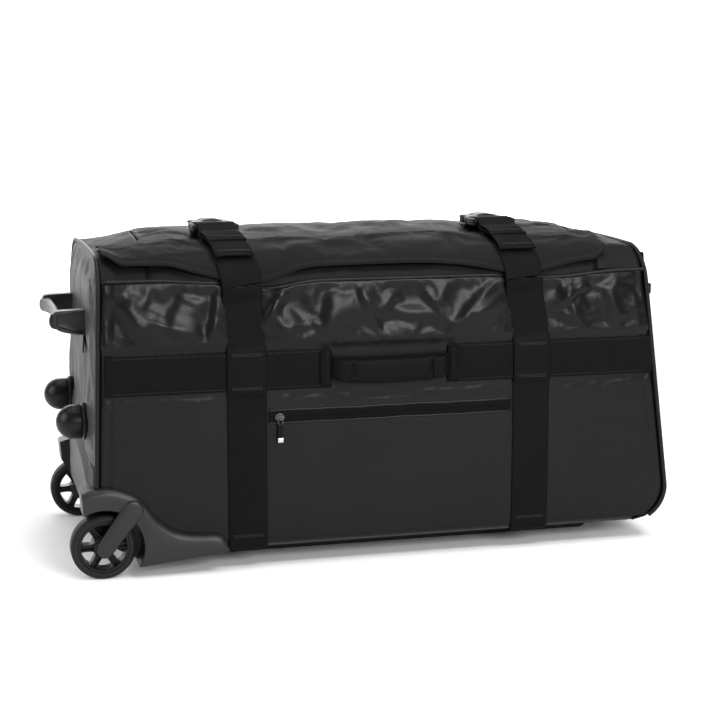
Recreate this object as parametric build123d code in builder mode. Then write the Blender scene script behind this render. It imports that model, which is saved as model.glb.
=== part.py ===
"""Wheeled duffel bag: soft shell on a rigid base, U-opening lid, two wheels and a trolley handle.

Frame: +X runs along the bag, away from the wheels; -Y is the front, with the pocket; +Z is up.
The origin is under the middle of the bag, on the floor that the wheels and skid rails stand on.
All sizes are in millimetres.
"""
from build123d import *
import os

os.makedirs("parts", exist_ok=True)

# Shell
half_depth = 168
wall = 4
inner_half = half_depth - wall
base_z = 27
seam_z = 362
crown_z = 414
crown_radius = 481
end_crown_z = 397
end_shoulder_z = 392
shoulder_z = crown_z - crown_radius + (crown_radius**2 - half_depth**2) ** 0.5
shoulder_radius = 45

# Ends of the shell, as the line that each end wall follows from its top to its lower corner
wheel_end_top = -352
wheel_end_low = -366
wheel_corner_radius = 40
handle_end_top = 356
handle_end_low = 398
handle_corner_radius = 45
handle_corner_z = base_z + handle_corner_radius
wheel_corner_z = base_z + wheel_corner_radius
wheel_slope = (wheel_end_top - wheel_end_low) / (end_crown_z - wheel_corner_z)
handle_slope = (handle_end_low - handle_end_top) / (end_crown_z - handle_corner_z)

# How far trimming boxes reach past the bag
reach_x = 400
reach_y = 200
reach_z = 450

# Lid opening in the top
lid_half_length = 290
lid_front_y = -148
lid_back_y = 149.5
opening_gap = 2
gusset_y = 151.5

# Webbing
webbing_width = 50
webbing = 1.8
strap_spacing = 374.8
wheel_strap_x = -172.2
strap_xs = {"wheel_side": wheel_strap_x, "handle_side": wheel_strap_x + strap_spacing}
buckle_xs = {"wheel_side": wheel_strap_x - 22, "handle_side": wheel_strap_x + strap_spacing - 26}
band_z = 252
band_y = half_depth + 0.2
strap_y = band_y + webbing

# Wheels, housings and axles
wheel_radius = 40.3
axle_x = -352.3
wheel_y = 158
tyre_width = 24
rim_radius = 32
rim_wall = 2.5
hub_radius = 13
spoke_length = 19
spoke_width = 8
spoke_middle_radius = 21
bearing_radius = 9
bearing_width = 7
axle_radius = 4
running_gap = 0.05
spoke_count = 6
well_radius = 49
housing_y = 180
housing_inner_y = 140
cover_inner_y = 174
cover_thickness = 9
cover_low_radius = 10
cover_high_radius = 12.5
cover_high = (-317, 87)
well_back_y = 144

# Points along a wheel housing's outline, seen from the front: arch, sweep down, tail, underside
arch_start = (-379, 110)
arch_crest = (-347, 115.5)
arch_end = (-306, 99)
sweep_middle = (-284, 70)
tail_start = (-255, 52.5)
tail_end = (-212, 48)
tip_bend = (-201, 41)
tip = (-198.4, 31)
tip_under = (-201, 26.6)
well_rear = (-306, 15)
well_front = (-377, 84)

# Skid rails
rail_y = 78
rail_width = 20
rail_front_x = -210
rail_back_x = 345
rail_ramp = 30

# Trolley
tube_y = 75
tube_z = 64
tube_wall = 1.2
tube_gap = 0.25
tube_width = 22
tube_height = 15
stage_length = 430
tube_start_x = -320
tube_end_x = 379
bezel_face_x = 399
bezel_half_width = 99.5
bezel_half_height = 19.5
recess_x = 384
recess_half_width = 91
recess_half_height = 14.5
well_half_width = 50
button_half = 14
button_travel = 3

# Feet and grab handle on the wheel end
foot_tip_x = -401
dome_z = 186
dome_y = 100
dome_radius = 21.5
dome_flange_radius = 23.5
dome_length = 16
grab_half_width = 88
grab_low_z = 302
grab_height = 22
grab_bar = 13
grab_arm = 14


def finish(piece, name):
    """Name a finished piece and write it to its own STEP file."""
    piece.part.label = name
    export_step(piece.part, f"parts/{name}.step")


def mirrored(piece):
    """Return the same piece on the other side of the bag's middle plane."""
    with BuildPart() as other:
        mirror(piece.part, about=Plane.XZ)
    return other


def finish_pair(piece, name):
    """Write a front piece and its mirror image at the back."""
    finish(piece, name + "_front")
    finish(mirrored(piece), name + "_back")


def block(low, high, mode=Mode.ADD):
    """Add a box to the current part, given its two opposite corners."""
    size = [high[i] - low[i] for i in range(3)]
    with Locations([((low[0] + high[0]) / 2, (low[1] + high[1]) / 2, (low[2] + high[2]) / 2)]):
        Box(*size, mode=mode)


def section(x, crown, shoulder, inset=0.0):
    """Return the bag's cross-section at x: upright sides, rounded shoulders and a crowned top."""
    half = half_depth - inset
    with BuildSketch(Plane.YZ.offset(x)) as outline:
        with BuildLine():
            Polyline((-half, shoulder - inset), (-half, 300), (half, 300), (half, shoulder - inset))
            ThreePointArc((-half, shoulder - inset), (0, crown - inset), (half, shoulder - inset))
        make_face()
        fillet(outline.vertices().group_by(Axis.Y)[-1], shoulder_radius - inset)
    return outline.sketch


def end_shape(x):
    """Return the outline that an end wall fills, inside the front, back and top."""
    side_top = end_shoulder_z - wall
    low = base_z - 7
    with BuildSketch(Plane.YZ.offset(x)) as outline:
        with BuildLine():
            Polyline((-inner_half, side_top), (-inner_half, low), (inner_half, low), (inner_half, side_top))
            ThreePointArc((-inner_half, side_top), (0, end_crown_z - wall), (inner_half, side_top))
        make_face()
        fillet(outline.vertices().group_by(Axis.Y)[-1], shoulder_radius - wall)
    return outline.sketch


def wheel_end_x(z):
    """Give the outer face of the wheel end at height z."""
    return wheel_end_low + wheel_slope * (z - wheel_corner_z)


def handle_end_x(z):
    """Give the outer face of the handle end at height z."""
    return handle_end_low - handle_slope * (z - handle_corner_z)


def top_band(x_low, x_high, outer, inner):
    """Make a layer over the bag's top: outer and inner are its distances out from the shell."""
    length = x_high - x_low
    extrude(section(x_low, crown_z, shoulder_z, -outer), amount=length)
    extrude(section(x_low, crown_z, shoulder_z, -inner), amount=length, mode=Mode.SUBTRACT)


def keep_slanted(x_front, y_front, x_back, y_back):
    """Keep a strip of webbing's width that runs straight between two points, seen from above."""
    half = webbing_width / 2
    with BuildSketch(Plane.XY.offset(seam_z - 10)) as strip:
        with BuildLine():
            Polyline(
                (x_front - half, y_front),
                (x_front + half, y_front),
                (x_back + half, y_back),
                (x_back - half, y_back),
                close=True,
            )
        make_face()
    extrude(strip.sketch, amount=100, mode=Mode.INTERSECT)


def keep(y_low, y_high, z_low=seam_z):
    """Keep only what lies above z_low and between two distances across the bag."""
    block((-reach_x, y_low, z_low), (reach_x, y_high, reach_z), mode=Mode.INTERSECT)


def housing_outline(y):
    """Return a wheel housing's side, -y out: an arch over the wheel, then a long low tail."""
    with BuildSketch(Plane.XZ.offset(y)) as outline:
        with BuildLine():
            ThreePointArc(arch_start, arch_crest, arch_end)
            Spline(arch_end, sweep_middle, tail_start, tangents=[(0.8, -0.75), (1, -0.12)])
            Line(tail_start, tail_end)
            ThreePointArc(tail_end, tip_bend, tip)
            Polyline(tip, tip_under, well_rear, (axle_x, wheel_radius), well_front, arch_start)
        make_face()
    return outline.sketch


def wheel_disc(y, radius):
    """Return a circle about the wheel's axle, -y out."""
    with BuildSketch(Plane.XZ.offset(y)) as disc:
        with Locations((axle_x, wheel_radius)):
            Circle(radius)
    return disc.sketch


def cover_outline(y):
    """Return the tapered outline of an axle cover, -y out."""
    with BuildSketch(Plane.XZ.offset(y)) as outline:
        with Locations((axle_x, wheel_radius)):
            Circle(cover_low_radius)
        with Locations(cover_high):
            Circle(cover_high_radius)
        make_hull()
    return outline.sketch


def cut_wheel_corners():
    """Cut both wheel housings' places out of the current part."""
    depth = housing_y + 1 - housing_inner_y
    for start in (housing_inner_y, -housing_y - 1):
        extrude(housing_outline(start), amount=depth, mode=Mode.SUBTRACT)
        extrude(wheel_disc(start, well_radius + 1), amount=depth, mode=Mode.SUBTRACT)


def rounded_prism(x_low, x_high, y_half, z_mid, z_half, radius, y_mid=0.0, mode=Mode.ADD):
    """Add a bar along X with a rounded rectangular section."""
    with BuildSketch(Plane.YZ.offset(x_low)) as profile:
        with Locations((y_mid, z_mid)):
            RectangleRounded(2 * y_half, 2 * z_half, radius)
    extrude(profile.sketch, amount=x_high - x_low, mode=mode)


# ---------------------------------------------------------------- soft shell

with BuildPart() as front_panel:
    with BuildSketch(Plane.XZ.offset(inner_half)):
        with BuildLine():
            Polyline(
                (handle_end_low - handle_corner_radius, base_z),
                (wheel_end_low, base_z),
                (wheel_end_top, seam_z),
                (handle_end_x(seam_z), seam_z),
                (handle_end_low, handle_corner_z),
            )
            RadiusArc(
                (handle_end_low, handle_corner_z),
                (handle_end_low - handle_corner_radius, base_z),
                handle_corner_radius,
            )
        make_face()
    extrude(amount=wall)
    cut_wheel_corners()
finish(front_panel, "front_panel")
finish(mirrored(front_panel), "back_panel")

with BuildPart() as wheel_end_panel:
    with BuildSketch(Plane.XZ):
        with BuildLine():
            Line((wheel_end_top + wall / 2, end_crown_z), (wheel_end_low + wall / 2, wheel_corner_z))
            RadiusArc(
                (wheel_end_low + wall / 2, wheel_corner_z),
                (wheel_end_low + wheel_corner_radius, base_z + wall / 2),
                -(wheel_corner_radius - wall / 2),
            )
        trace(line_width=wall)
    extrude(amount=inner_half, both=True)
    extrude(end_shape(wheel_end_low - 10), amount=60, mode=Mode.INTERSECT)
    cut_wheel_corners()
finish(wheel_end_panel, "wheel_end_panel")

with BuildPart() as handle_end_panel:
    with BuildSketch(Plane.XZ):
        with BuildLine():
            Line((handle_end_top - wall / 2, end_crown_z), (handle_end_low - wall / 2, handle_corner_z))
            RadiusArc(
                (handle_end_low - wall / 2, handle_corner_z),
                (handle_end_low - handle_corner_radius, base_z + wall / 2),
                handle_corner_radius - wall / 2,
            )
        trace(line_width=wall)
    extrude(amount=inner_half, both=True)
    extrude(end_shape(handle_end_top - 20), amount=80, mode=Mode.INTERSECT)
    bezel_hole = bezel_half_width + 0.5
    block((370, -bezel_hole, tube_z - 20), (405, bezel_hole, tube_z + 20), mode=Mode.SUBTRACT)
finish(handle_end_panel, "handle_end_panel")

base_front_x = wheel_end_low + wheel_corner_radius
base_back_x = handle_end_low - handle_corner_radius
with BuildPart() as base_board:
    block((base_front_x, -inner_half, base_z), (base_back_x, inner_half, base_z + wall))
    cut_wheel_corners()
finish(base_board, "base_board")

with BuildPart() as front_top_gusset:
    top_band(-lid_half_length - opening_gap, lid_half_length + opening_gap, 0, -wall)
    keep(-reach_y, -gusset_y)
finish(front_top_gusset, "front_top_gusset")
finish(mirrored(front_top_gusset), "back_top_gusset")

gusset_ends = {
    "wheel_end_gusset": (wheel_end_top, -lid_half_length - opening_gap),
    "handle_end_gusset": (handle_end_top, lid_half_length + opening_gap),
}
for name, (end_x, lid_x) in gusset_ends.items():
    with BuildPart() as end_gusset:
        loft([section(end_x, end_crown_z, end_shoulder_z), section(lid_x, crown_z, shoulder_z)])
        loft(
            [section(end_x, end_crown_z, end_shoulder_z, wall), section(lid_x, crown_z, shoulder_z, wall)],
            mode=Mode.SUBTRACT,
        )
        keep(-reach_y, reach_y)
    finish(end_gusset, name)

scuff_side_z = 136
scuff_middle_z = 174
scuff_low_z = 60
scuff_high_z = wheel_corner_z + 110
with BuildPart() as scuff_panel:
    with BuildSketch(Plane.XZ):
        with BuildLine():
            Polyline(
                (wheel_end_low - 2, wheel_corner_z),
                (wheel_end_low - 0.2, wheel_corner_z),
                (wheel_end_x(scuff_high_z) - 0.2, scuff_high_z),
                (wheel_end_x(scuff_high_z) - 2, scuff_high_z),
                close=True,
            )
        make_face()
    extrude(amount=inner_half, both=True)
    with BuildSketch(Plane.YZ.offset(wheel_end_low - 14)):
        with BuildLine():
            Polyline(
                (-inner_half, scuff_side_z),
                (-inner_half, scuff_low_z),
                (inner_half, scuff_low_z),
                (inner_half, scuff_side_z),
            )
            ThreePointArc((-inner_half, scuff_side_z), (0, scuff_middle_z), (inner_half, scuff_side_z))
        make_face()
    extrude(amount=40, mode=Mode.INTERSECT)
    cut_wheel_corners()
finish(scuff_panel, "scuff_panel")

piping_radius = 2.5
with BuildPart() as edge_piping:
    piping_y = half_depth + piping_radius
    for side in (-1, 1):
        start = Vector(wheel_end_top + 8, side * piping_y, seam_z)
        corner = Vector(handle_end_x(seam_z), side * piping_y, seam_z)
        low = Vector(handle_end_low, side * piping_y, handle_corner_z)
        for a, b in ((start, corner), (corner, low)):
            direction = (b - a).normalized()
            with BuildSketch(Plane(origin=a + direction * 6, z_dir=direction)):
                Circle(piping_radius)
            extrude(amount=(b - a).length - 12)
finish(edge_piping, "edge_piping")

# ---------------------------------------------------------------- base hardware

with BuildPart() as housing:
    extrude(housing_outline(housing_inner_y), amount=housing_y - housing_inner_y)
    extrude(wheel_disc(housing_inner_y, axle_radius + 9), amount=well_back_y - housing_inner_y)
    extrude(wheel_disc(well_back_y, well_radius), amount=60, mode=Mode.SUBTRACT)
    extrude(wheel_disc(0, axle_radius), amount=well_back_y + 1, mode=Mode.SUBTRACT)
    extrude(cover_outline(cover_inner_y), amount=20, mode=Mode.SUBTRACT)
finish_pair(housing, "wheel_housing")

with BuildPart() as axle_cover:
    extrude(cover_outline(cover_inner_y), amount=cover_thickness)
    fillet(axle_cover.faces().sort_by(Axis.Y)[0].edges(), 2)
    extrude(wheel_disc(cover_inner_y - 1, axle_radius), amount=5, mode=Mode.SUBTRACT)
finish_pair(axle_cover, "axle_cover")

with BuildPart() as wheel_axle:
    extrude(wheel_disc(housing_inner_y, axle_radius), amount=cover_inner_y + 4 - housing_inner_y)
finish_pair(wheel_axle, "wheel_axle")

with BuildPart() as wheel_hub:
    hub_plane = Plane.XZ.offset(wheel_y - tyre_width / 2 + 2)
    hub_width = tyre_width - 4
    with BuildSketch(hub_plane):
        with Locations((axle_x, wheel_radius)):
            Circle(rim_radius)
            Circle(rim_radius - rim_wall, mode=Mode.SUBTRACT)
            Circle(hub_radius)
        with Locations((axle_x, wheel_radius)):
            with PolarLocations(spoke_middle_radius, spoke_count, start_angle=0):
                Rectangle(spoke_length, spoke_width)
        with Locations((axle_x, wheel_radius)):
            Circle(bearing_radius, mode=Mode.SUBTRACT)
    extrude(amount=hub_width)
finish_pair(wheel_hub, "wheel_hub")

with BuildPart() as tyre:
    with BuildSketch(Plane.XZ.offset(wheel_y - tyre_width / 2)):
        with Locations((axle_x, wheel_radius)):
            Circle(wheel_radius)
            Circle(rim_radius, mode=Mode.SUBTRACT)
    extrude(amount=tyre_width)
    fillet(tyre.edges().filter_by(GeomType.CIRCLE).group_by(SortBy.RADIUS)[-1], 4)
finish_pair(tyre, "tyre")

with BuildPart() as wheel_bearings:
    for bearing_y in (wheel_y - hub_width / 2, wheel_y + hub_width / 2 - bearing_width):
        with BuildSketch(Plane.XZ.offset(bearing_y)):
            with Locations((axle_x, wheel_radius)):
                Circle(bearing_radius)
                Circle(axle_radius + running_gap, mode=Mode.SUBTRACT)
        extrude(amount=bearing_width)
finish_pair(wheel_bearings, "wheel_bearings")

with BuildPart() as skid_rail:
    with BuildSketch(Plane.XZ.offset(rail_y - rail_width / 2)):
        with BuildLine():
            Polyline(
                (rail_front_x, base_z),
                (rail_front_x + rail_ramp, 0),
                (rail_back_x - rail_ramp - 5, 0),
                (rail_back_x, base_z),
                close=True,
            )
        make_face()
    extrude(amount=rail_width)
    fillet(skid_rail.edges().filter_by(Axis.Y).group_by(Axis.Z)[0], 8)
finish_pair(skid_rail, "skid_rail")

# ---------------------------------------------------------------- wheel end: feet and grab handle

dome_seat_x = wheel_end_x(dome_z) - 1.1
dome_shoulder_x = foot_tip_x + dome_length
with BuildPart() as bumper_domes:
    for side in (-1, 1):
        with BuildSketch(Plane(origin=(0, side * dome_y, dome_z), x_dir=(1, 0, 0), z_dir=(0, 1, 0))):
            with BuildLine():
                Polyline(
                    (dome_shoulder_x, dome_radius),
                    (dome_seat_x - 7, dome_radius),
                    (dome_seat_x - 5, dome_flange_radius),
                    (dome_seat_x - 0.5, dome_flange_radius),
                    (dome_seat_x - 0.5, 0),
                    (foot_tip_x, 0),
                )
                ThreePointArc((foot_tip_x, 0), (foot_tip_x + 4.6, 15.2), (dome_shoulder_x, dome_radius))
            make_face()
        revolve(axis=Axis((0, side * dome_y, dome_z), (1, 0, 0)))
finish(bumper_domes, "bumper_domes")

grab_back_x = wheel_end_top - 4.5
with BuildPart() as grab_handle:
    with BuildSketch(Plane.XY.offset(grab_low_z)) as grab_plan:
        with Locations(((foot_tip_x + grab_back_x) / 2, 0)):
            Rectangle(grab_back_x - foot_tip_x, 2 * grab_half_width)
        fillet(grab_plan.vertices().group_by(Axis.X)[0], 22)
        with Locations(((foot_tip_x + grab_bar + wheel_end_top) / 2, 0)):
            Rectangle(
                wheel_end_top - foot_tip_x - grab_bar,
                2 * (grab_half_width - grab_arm),
                mode=Mode.SUBTRACT,
            )
    extrude(amount=grab_height)
    fillet(grab_handle.edges().filter_by(Axis.Z).group_by(Axis.X)[1], 6)
    for side in (-1, 1):
        with BuildSketch(Plane.YZ.offset(grab_back_x - 6)):
            with Locations((side * (grab_half_width - grab_arm / 2), grab_low_z + 4)):
                RectangleRounded(30, 40, 6)
        extrude(amount=5.5)
finish(grab_handle, "grab_handle")

# ---------------------------------------------------------------- webbing on the shell

strap_low_z = base_z + 2
strap_top_z = 356
strap_step_z = 353
over_piping = 6.6
for name, x in strap_xs.items():
    with BuildPart() as front_strap:
        block(
            (x - webbing_width / 2, -strap_y - webbing, strap_low_z),
            (x + webbing_width / 2, -strap_y, strap_top_z),
        )
    finish(front_strap, f"front_strap_{name}")
    with BuildPart() as back_strap:
        top_band(x - webbing_width / 2, x + webbing_width / 2, over_piping + webbing, over_piping)
        keep(half_depth - 10, reach_y, strap_step_z)
        block(
            (x - webbing_width / 2, strap_y, strap_step_z - webbing),
            (x + webbing_width / 2, half_depth + over_piping + webbing, strap_step_z),
        )
        block(
            (x - webbing_width / 2, strap_y, strap_low_z),
            (x + webbing_width / 2, strap_y + webbing, strap_step_z),
        )
    finish(back_strap, f"back_strap_{name}")

grip_mid_x = 12
grip_half_length = 63
anchor_half = 79
grip_height = 29
grip_out = 16
grip_thickness = 6
pivot_y = half_depth + 4.4
lug_inner_y = pivot_y - 1.3
lug_outer_y = pivot_y + 1.5
lug_half_height = 2
anchor_thickness = 6
band_runs = {
    grip_mid_x - anchor_half: (wheel_end_top + 3, grip_mid_x - anchor_half + anchor_thickness / 2),
    grip_mid_x + anchor_half: (grip_mid_x + anchor_half - anchor_thickness / 2, 368),
}
with BuildPart() as front_band:
    for anchor_x, (run_start, run_end) in band_runs.items():
        block(
            (run_start, -band_y - webbing, band_z - webbing_width / 2),
            (run_end, -band_y, band_z + webbing_width / 2),
        )
        block(
            (anchor_x - anchor_thickness / 2, -band_y - 6, band_z - 17),
            (anchor_x + anchor_thickness / 2, -band_y - webbing, band_z + 17),
        )
finish(front_band, "front_band")
finish(mirrored(front_band), "back_band")

with BuildPart() as front_carry_handle:
    with BuildSketch(Plane.XY.offset(band_z - grip_height / 2)) as grip_plan:
        with Locations((grip_mid_x, -half_depth - grip_out + grip_thickness / 2)):
            Rectangle(2 * grip_half_length, grip_thickness)
        fillet(grip_plan.vertices(), 2)
    extrude(amount=grip_height)
    for side in (-1, 1):
        with BuildSketch(Plane.XY.offset(band_z - lug_half_height)):
            with BuildLine():
                end_x = grip_mid_x + side * grip_half_length
                Polyline(
                    (end_x - side * 8, -half_depth - grip_out + 1.5),
                    (end_x + side * 4, -half_depth - grip_out + 1.5),
                    (end_x + side * 12.5, -lug_outer_y),
                    (end_x + side * 12.5, -lug_inner_y),
                    (end_x + side * 5, -lug_inner_y),
                    (end_x - side * 4, -half_depth - grip_out + 5.5),
                    (end_x - side * 8, -half_depth - grip_out + 5.5),
                    close=True,
                )
            make_face()
        extrude(amount=2 * lug_half_height)
finish(front_carry_handle, "front_carry_handle")
finish(mirrored(front_carry_handle), "back_carry_handle")

# ---------------------------------------------------------------- handle end

end_strap_y = 140
end_strap_half = 19
end_strap_low_z = 262
end_strap_high_z = 386
lock_z = 338
lock_half_height = 7
strap_gap = 0.3


def end_strap_run(low_z, high_z):
    """Return the side view of webbing that lies on the handle end between two heights."""
    with BuildSketch(Plane.XZ) as run:
        with BuildLine():
            Polyline(
                (handle_end_x(low_z) + strap_gap, low_z),
                (handle_end_x(high_z) + strap_gap, high_z),
                (handle_end_x(high_z) + strap_gap + webbing, high_z),
                (handle_end_x(low_z) + strap_gap + webbing, low_z),
                close=True,
            )
        make_face()
    return run.sketch


end_strap_runs = (
    (end_strap_low_z, lock_z - lock_half_height - 1),
    (lock_z + lock_half_height + 1, end_strap_high_z),
)
with BuildPart() as one_end_strap:
    for low_z, high_z in end_strap_runs:
        extrude(end_strap_run(low_z, high_z), amount=end_strap_half, both=True)
with BuildPart() as end_straps:
    for side in (-1, 1):
        add(one_end_strap.part.moved(Location((0, side * end_strap_y, 0))))
finish(end_straps, "end_straps")

with BuildPart() as ladder_locks:
    lock_x = handle_end_x(lock_z) + 1.5
    for side in (-1, 1):
        block(
            (lock_x, side * end_strap_y - end_strap_half - 4, lock_z - lock_half_height),
            (lock_x + 6, side * end_strap_y + end_strap_half + 4, lock_z + lock_half_height),
        )
        for slot_z in (lock_z - 3.5, lock_z + 3.5):
            block(
                (lock_x - 1, side * end_strap_y - end_strap_half, slot_z - 1.5),
                (lock_x + 7, side * end_strap_y + end_strap_half, slot_z + 1.5),
                mode=Mode.SUBTRACT,
            )
finish(ladder_locks, "ladder_locks")

end_handle_z = 292
end_grip_half = 30
end_handle_half = 48
end_handle_out_x = 401
end_grip_thickness = 6
end_grip_half_width = 14
with BuildPart() as end_carry_handle:
    block(
        (end_handle_out_x - end_grip_thickness, -end_grip_half_width, end_handle_z - end_grip_half),
        (end_handle_out_x, end_grip_half_width, end_handle_z + end_grip_half),
    )
    for side in (-1, 1):
        z_grip = end_handle_z + side * end_grip_half
        z_tip = end_handle_z + side * end_handle_half
        tip_x = handle_end_x(z_tip) + 3
        with BuildSketch(Plane.XZ.offset(-3)):
            with BuildLine():
                Polyline(
                    (end_handle_out_x - 1, z_grip),
                    (end_handle_out_x - 5, z_grip),
                    (tip_x, z_tip - side * 4),
                    (tip_x, z_tip),
                    (tip_x + 3, z_tip),
                    close=True,
                )
            make_face()
        extrude(amount=6)
finish(end_carry_handle, "end_carry_handle")

# ---------------------------------------------------------------- zips

pocket_low_x = strap_xs["wheel_side"] + webbing_width / 2 + 1
pocket_high_x = strap_xs["handle_side"] - webbing_width / 2 - 1
pocket_z = 193
tape_width = 16
with BuildPart() as pocket_zip_tape:
    block(
        (pocket_low_x, -half_depth - 1.2, pocket_z - tape_width / 2),
        (pocket_high_x, -half_depth - 0.1, pocket_z + tape_width / 2),
    )
    block(
        (pocket_low_x, -half_depth - 2.2, pocket_z - 3),
        (pocket_high_x, -half_depth - 1.2, pocket_z + 3),
    )
finish(pocket_zip_tape, "pocket_zip_tape")

slider_x = -131
puller_pivot_z = pocket_z - 3.5
puller_top_z = puller_pivot_z + 2.1
puller_low_z = 161
with BuildPart() as pocket_zip_slider:
    block((slider_x - 6, -half_depth - 5, pocket_z - 5), (slider_x + 6, -half_depth - 2.5, pocket_z + 5))
    fillet(pocket_zip_slider.edges().filter_by(Axis.Y), 2)
    block((slider_x - 5, -half_depth - 6.5, pocket_z - 0.6), (slider_x + 5, -half_depth - 5, pocket_z + 2.4))
finish(pocket_zip_slider, "pocket_zip_slider")

with BuildPart() as pocket_zip_puller:
    with BuildSketch(Plane.XZ.offset(half_depth + 6.8)):
        with Locations((slider_x, (puller_top_z + puller_low_z) / 2)):
            SlotOverall(puller_top_z - puller_low_z, 7, rotation=90)
        with Locations((slider_x, puller_pivot_z)):
            Circle(1.1, mode=Mode.SUBTRACT)
    extrude(amount=1.6)
finish(pocket_zip_puller, "pocket_zip_puller")

with BuildPart() as main_zip_tape:
    top_band(-lid_half_length, lid_half_length, 1.2, 0.1)
    keep(-162, -gusset_y - 0.3)
finish(main_zip_tape, "main_zip_tape")

main_slider_x = 270
with BuildPart() as main_zip_slider:
    top_band(main_slider_x - 7, main_slider_x + 7, 3.4, 1.5)
    keep(-161, -152)
finish(main_zip_slider, "main_zip_slider")

# ---------------------------------------------------------------- lid

with BuildPart() as lid_panel:
    top_band(-lid_half_length, lid_half_length, 0, -wall)
    keep(lid_front_y, lid_back_y)
finish(lid_panel, "lid_panel")

flap_inner = 4
flap_outer = 6.5
flap_root_y = -86
flap_hem_z = 368
with BuildPart() as flap_root:
    top_band(-lid_half_length, lid_half_length, flap_outer, 0.2)
    keep(flap_root_y - 14, flap_root_y)
with BuildPart() as storm_flap:
    top_band(-lid_half_length - 30, lid_half_length + 30, flap_outer, flap_inner)
    keep(-reach_y, flap_root_y, flap_hem_z)
    add(flap_root.part)
finish(storm_flap, "storm_flap")

socket_floor_z = 417
plug_floor_z = 418.5
buckle_top_z = 430
buckle_half = 29
socket_front_y = -62
socket_back_y = -16
plug_front_y = -94
plug_tip_y = -26
plug_slot_ys = (-87, -75)
prong_xs = (-20, 0, 20)
lid_strap_front_y = socket_back_y - 34
lid_strap_back_y = 146
strap_top_back_y = plug_front_y - 0.5
for name, x in buckle_xs.items():
    strap_x = strap_xs[name]
    with BuildPart() as lid_strap:
        top_band(x - webbing_width / 2, strap_x + webbing_width / 2, 2.2, 0.3)
        keep(lid_strap_front_y, lid_strap_back_y)
        keep_slanted(x, lid_strap_front_y, strap_x, lid_strap_back_y)
    finish(lid_strap, f"lid_strap_{name}")

    with BuildPart() as socket:
        block(
            (x - buckle_half, socket_front_y, socket_floor_z),
            (x + buckle_half, socket_back_y, buckle_top_z),
        )
        fillet(socket.edges().filter_by(Axis.Z).group_by(Axis.Y)[-1], 8)
        block(
            (x - buckle_half + 4, socket_front_y - 1, socket_floor_z + 3),
            (x + buckle_half - 4, plug_tip_y + 3, reach_z),
            mode=Mode.SUBTRACT,
        )
    finish(socket, f"buckle_socket_{name}")

    with BuildPart() as plug:
        block(
            (x - buckle_half, plug_front_y, plug_floor_z),
            (x + buckle_half, socket_front_y - 1, buckle_top_z),
        )
        fillet(plug.edges().filter_by(Axis.Z), 5)
        for slot_y in plug_slot_ys:
            block(
                (x - webbing_width / 2 - 1, slot_y - 3.5, plug_floor_z - 5),
                (x + webbing_width / 2 + 1, slot_y + 3.5, reach_z),
                mode=Mode.SUBTRACT,
            )
        for prong_x in prong_xs:
            block(
                (x + prong_x - 3.5, socket_front_y - 2, plug_floor_z + 2.5),
                (x + prong_x + 3.5, plug_tip_y, buckle_top_z - 2),
            )
    finish(plug, f"buckle_plug_{name}")

    with BuildPart() as strap_top:
        top_band(x - webbing_width / 2, strap_x + webbing_width / 2, flap_outer + 1 + webbing, flap_outer + 1)
        keep(-reach_y, strap_top_back_y, 360)
        keep_slanted(strap_x, -strap_y - 10, x, strap_top_back_y)
    finish(strap_top, f"strap_top_{name}")

# ---------------------------------------------------------------- trolley handle

middle_width = tube_width - 2 * tube_wall - 2 * tube_gap
middle_height = tube_height - 2 * tube_wall - 2 * tube_gap
inner_width = middle_width - 2 * tube_wall - 2 * tube_gap
inner_height = middle_height - 2 * tube_wall - 2 * tube_gap


def tubes(x_low, x_high, width, height):
    """Add the pair of rounded rectangular tubes of one stage."""
    for side in (-1, 1):
        rounded_prism(x_low, x_high, width / 2, tube_z, height / 2, 3, side * tube_y)
    for side in (-1, 1):
        rounded_prism(
            x_low,
            x_high,
            width / 2 - tube_wall,
            tube_z,
            height / 2 - tube_wall,
            1.8,
            side * tube_y,
            mode=Mode.SUBTRACT,
        )


with BuildPart() as outer_tubes:
    tubes(tube_start_x, tube_end_x, tube_width, tube_height)
finish(outer_tubes, "outer_tubes")

with BuildPart() as middle_tubes:
    tubes(tube_end_x + 4 - stage_length, tube_end_x + 4, middle_width, middle_height)
finish(middle_tubes, "middle_tubes")

with BuildPart() as inner_tubes:
    tubes(tube_end_x + 7 - stage_length, tube_end_x + 7, inner_width, inner_height)
finish(inner_tubes, "inner_tubes")

well_back_x = 361
past_bezel_x = bezel_face_x + 11
with BuildPart() as handle_bezel:
    rounded_prism(tube_end_x, bezel_face_x, bezel_half_width, tube_z, bezel_half_height, 8)
    rounded_prism(well_back_x - 3, tube_end_x, well_half_width + 3, tube_z, 17, 6)
    rounded_prism(
        recess_x,
        past_bezel_x,
        recess_half_width,
        tube_z,
        recess_half_height,
        6,
        mode=Mode.SUBTRACT,
    )
    rounded_prism(well_back_x, past_bezel_x, well_half_width, tube_z, 14, 5, mode=Mode.SUBTRACT)
    for side in (-1, 1):
        rounded_prism(
            370,
            recess_x + 1,
            middle_width / 2 + tube_gap,
            tube_z,
            middle_height / 2 + tube_gap,
            2.5,
            side * tube_y,
            mode=Mode.SUBTRACT,
        )
finish(handle_bezel, "handle_bezel")

grip_face_x = bezel_face_x + 1
button_floor_x = grip_face_x - 8
with BuildPart() as trolley_grip:
    rounded_prism(recess_x + 2, grip_face_x, recess_half_width - 2, tube_z, recess_half_height - 2, 6)
    fillet(trolley_grip.faces().sort_by(Axis.X)[-1].edges(), 3)
    rounded_prism(
        button_floor_x,
        past_bezel_x,
        button_half + 0.3,
        tube_z,
        6.3,
        4,
        mode=Mode.SUBTRACT,
    )
finish(trolley_grip, "trolley_grip")

with BuildPart() as grip_button:
    rounded_prism(button_floor_x + button_travel + 0.5, grip_face_x + 1, button_half, tube_z, 6, 4)
finish(grip_button, "grip_button")
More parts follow.
